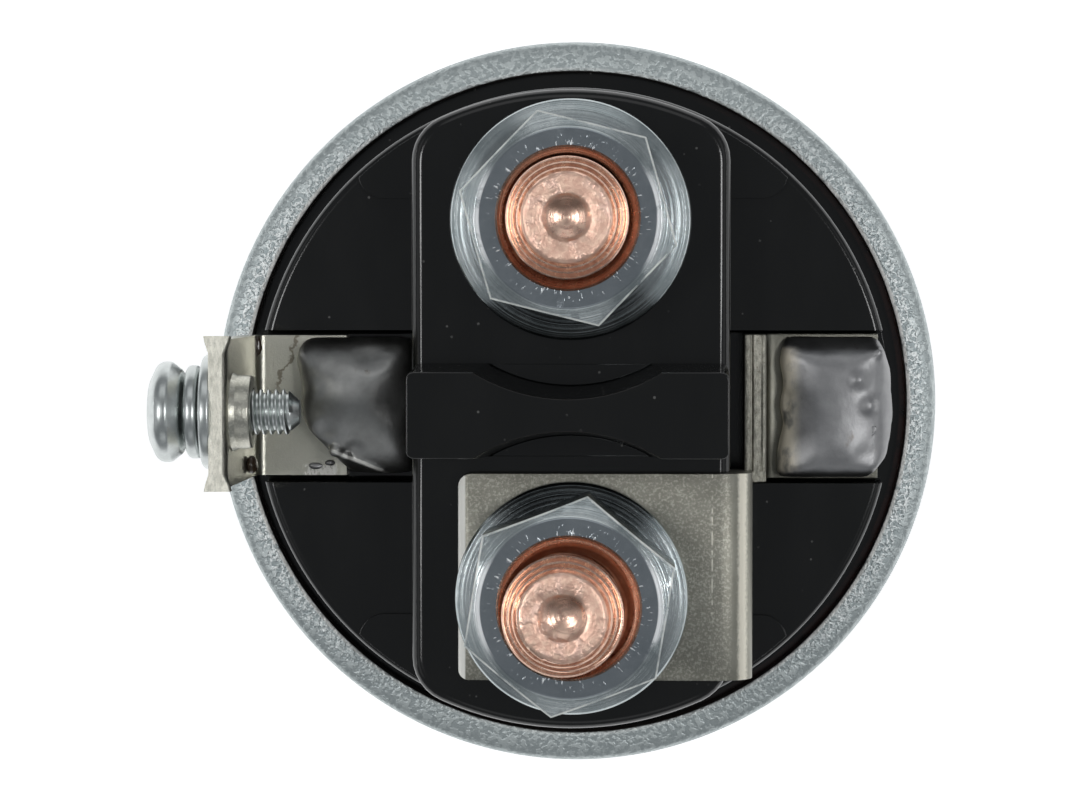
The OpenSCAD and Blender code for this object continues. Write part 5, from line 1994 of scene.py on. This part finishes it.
@dataclass
class Spring:
    """One coil spring of round wire, wound in place on its body."""

    bench: Bench
    name: str
    mean_r: float
    wire: float
    low: float
    high: float
    turns: float
    body: str
    joint: str
    anchor: float
    keep: float

    def build(self) -> None:
        """Winds the spring, hands it to its body and gives it a mesh of its own."""
        r = self.wire / 2
        section = [(self.mean_r + u, v) for u, v in arc(0, 0, r, 0, 330, 11)]
        rise = self.high - self.low - self.wire - 0.1
        spring = self.bench.coil(section, rise / self.turns, self.turns, self.low + r + 0.05, 40)
        self.bench.finish(spring, f"{self.name}_wound", self.body, SPRING, [self.name], 60)
        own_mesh(spring)


@dataclass(frozen=True)
class Lamp:
    """One soft panel: its direction and lean in degrees, its size in metres and its radiance."""

    name: str
    around: float
    lean: float
    width: float
    height: float
    radiance: float


@dataclass
class Studio:
    """The camera at the photograph's place, a pale floor and soft lights."""

    rim: float = 56.0
    camera_at: Point3 = (5.7, 9.5, 306.0)
    look_at: Point3 = (-2.48, -0.16, 56.0)
    lens: float = 118.0
    sensor: float = 36.0
    clip: Point2 = (0.01, 5.0)
    floor_z: float = -32.0
    floor_size: float = 3.0
    floor_tone: Colour = (0.92, 0.92, 0.92)
    floor_glow: float = 0.62
    air: Colour = (0.90, 0.95, 1.0)
    air_glow: float = 0.235
    lamp_far: float = 0.75
    lamps: tuple[Lamp, ...] = (
        Lamp("left_key", 177, 27, 0.19, 0.14, 12.0),
        Lamp("left_side", 180, 56, 0.80, 0.26, 0.34),
        Lamp("left_low", 180, 85, 0.50, 0.06, 3.4),
        Lamp("right_key", 3, 27, 0.19, 0.14, 11.5),
        Lamp("right_side", 0, 56, 0.80, 0.26, 0.34),
        Lamp("right_low", 0, 85, 0.50, 0.06, 3.0),
        Lamp("back_soft", 90, 50, 0.60, 0.35, 0.6),
        Lamp("front_soft", 270, 56, 0.50, 0.25, 0.4),
    )

    def camera(self) -> None:
        """Puts the camera where the photograph was taken from."""
        data = bpy.data.cameras.new("photo_camera")
        camera = bpy.data.objects.new("photo_camera", data)
        bpy.context.scene.collection.objects.link(camera)
        data.lens, data.sensor_width, data.sensor_fit = self.lens, self.sensor, "HORIZONTAL"
        data.clip_start, data.clip_end = self.clip
        back = (Vector(self.camera_at) - Vector(self.look_at)).normalized()
        right = Vector((0, 1, 0)).cross(back).normalized()
        up = back.cross(right)
        turn = Matrix((right, up, back)).transposed().to_4x4()
        camera.matrix_world = Matrix.Translation(Vector(self.camera_at) * MM) @ turn
        bpy.context.scene.camera = camera

    def light(self, lamp: Lamp) -> None:
        """Hangs one panel so that it faces the relay's rim.

        Args:
            lamp: the panel.
        """
        data = bpy.data.lights.new(lamp.name, "AREA")
        data.shape, data.size, data.size_y = "RECTANGLE", lamp.width, lamp.height
        data.energy = lamp.radiance * math.pi * lamp.width * lamp.height
        panel = bpy.data.objects.new(lamp.name, data)
        bpy.context.scene.collection.objects.link(panel)
        around, lean = math.radians(lamp.around), math.radians(lamp.lean)
        way = Vector((math.cos(around), math.sin(around), 0)) * math.sin(lean)
        way.z = math.cos(lean)
        panel.location = Vector((0, 0, self.rim * MM)) + way * self.lamp_far
        panel.rotation_euler = way.to_track_quat("Z", "Y").to_euler()

    def floor(self) -> None:
        """A plain pale floor just under the plunger."""
        bpy.ops.object.select_all(action="DESELECT")
        bpy.ops.mesh.primitive_plane_add(size=self.floor_size, location=(0, 0, self.floor_z * MM))
        floor = bpy.context.active_object
        floor.name = "studio_floor"
        tree = Tree("studio_white")
        tree.set(
            Base_Color=self.floor_tone, Roughness=0.9, Emission_Color=(1, 1, 1),
            Emission_Strength=self.floor_glow,
        )
        floor.data.materials.append(tree.material)

    def build(self) -> None:
        """Builds the studio."""
        self.camera()
        self.floor()
        world = bpy.data.worlds.new("studio_air")
        bpy.context.scene.world = world
        world.use_nodes = True
        background = world.node_tree.nodes["Background"].inputs
        background[0].default_value = (*self.air, 1)
        background[1].default_value = self.air_glow
        for lamp in self.lamps:
            self.light(lamp)
        bpy.context.scene.view_settings.view_transform = "Standard"


def dress_inner_nodes() -> None:
    """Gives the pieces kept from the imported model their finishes."""
    for finish, names in INNER:
        for name in names:
            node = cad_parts[name]
            node.data.materials.clear()
            node.data.materials.append(finish.material())
            LOG.info("%s keeps its packed shape", name)


def wind_springs(bench: Bench) -> None:
    """Winds the three springs, each from its named sizes and on its own body.

    Args:
        bench: the bench that they are wound on.
    """
    plunger = Spring(
        bench, "plunger_spring", mean_r=5.4, wire=1.0, low=8.2, high=29.0, turns=7,
        body="plunger_set", joint="plunger_slide", anchor=8.2, keep=0.495,
    )
    pressure = Spring(
        bench, "pressure_spring", mean_r=5.0, wire=0.8, low=40.05, high=46.25, turns=3.5,
        body="contact_set", joint="contact_disc_slide", anchor=46.25, keep=0.87,
    )
    contact = Spring(
        bench, "return_spring", mean_r=3.4, wire=0.7, low=51.05, high=63.0, turns=6.5,
        body="rod_set", joint="contact_rod_slide", anchor=51.05, keep=0.707,
    )
    for spring in (plunger, pressure, contact):
        spring.build()


def main() -> None:
    """Builds the studio and dresses the relay."""
    logging.basicConfig(level=logging.INFO, format="%(name)s: %(message)s")
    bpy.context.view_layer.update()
    bench = Bench()
    Studio().build()
    dress_inner_nodes()
    housing = Housing(bench)
    housing.can()
    housing.plate()
    for assembly in (Cap, StudsAndNuts, BusPlate, SolderJoints, TriggerTerminal, PlungerSet):
        assembly(bench).build()
    wind_springs(bench)
    bpy.ops.object.select_all(action="DESELECT")


if __name__ == "__main__":
    main()
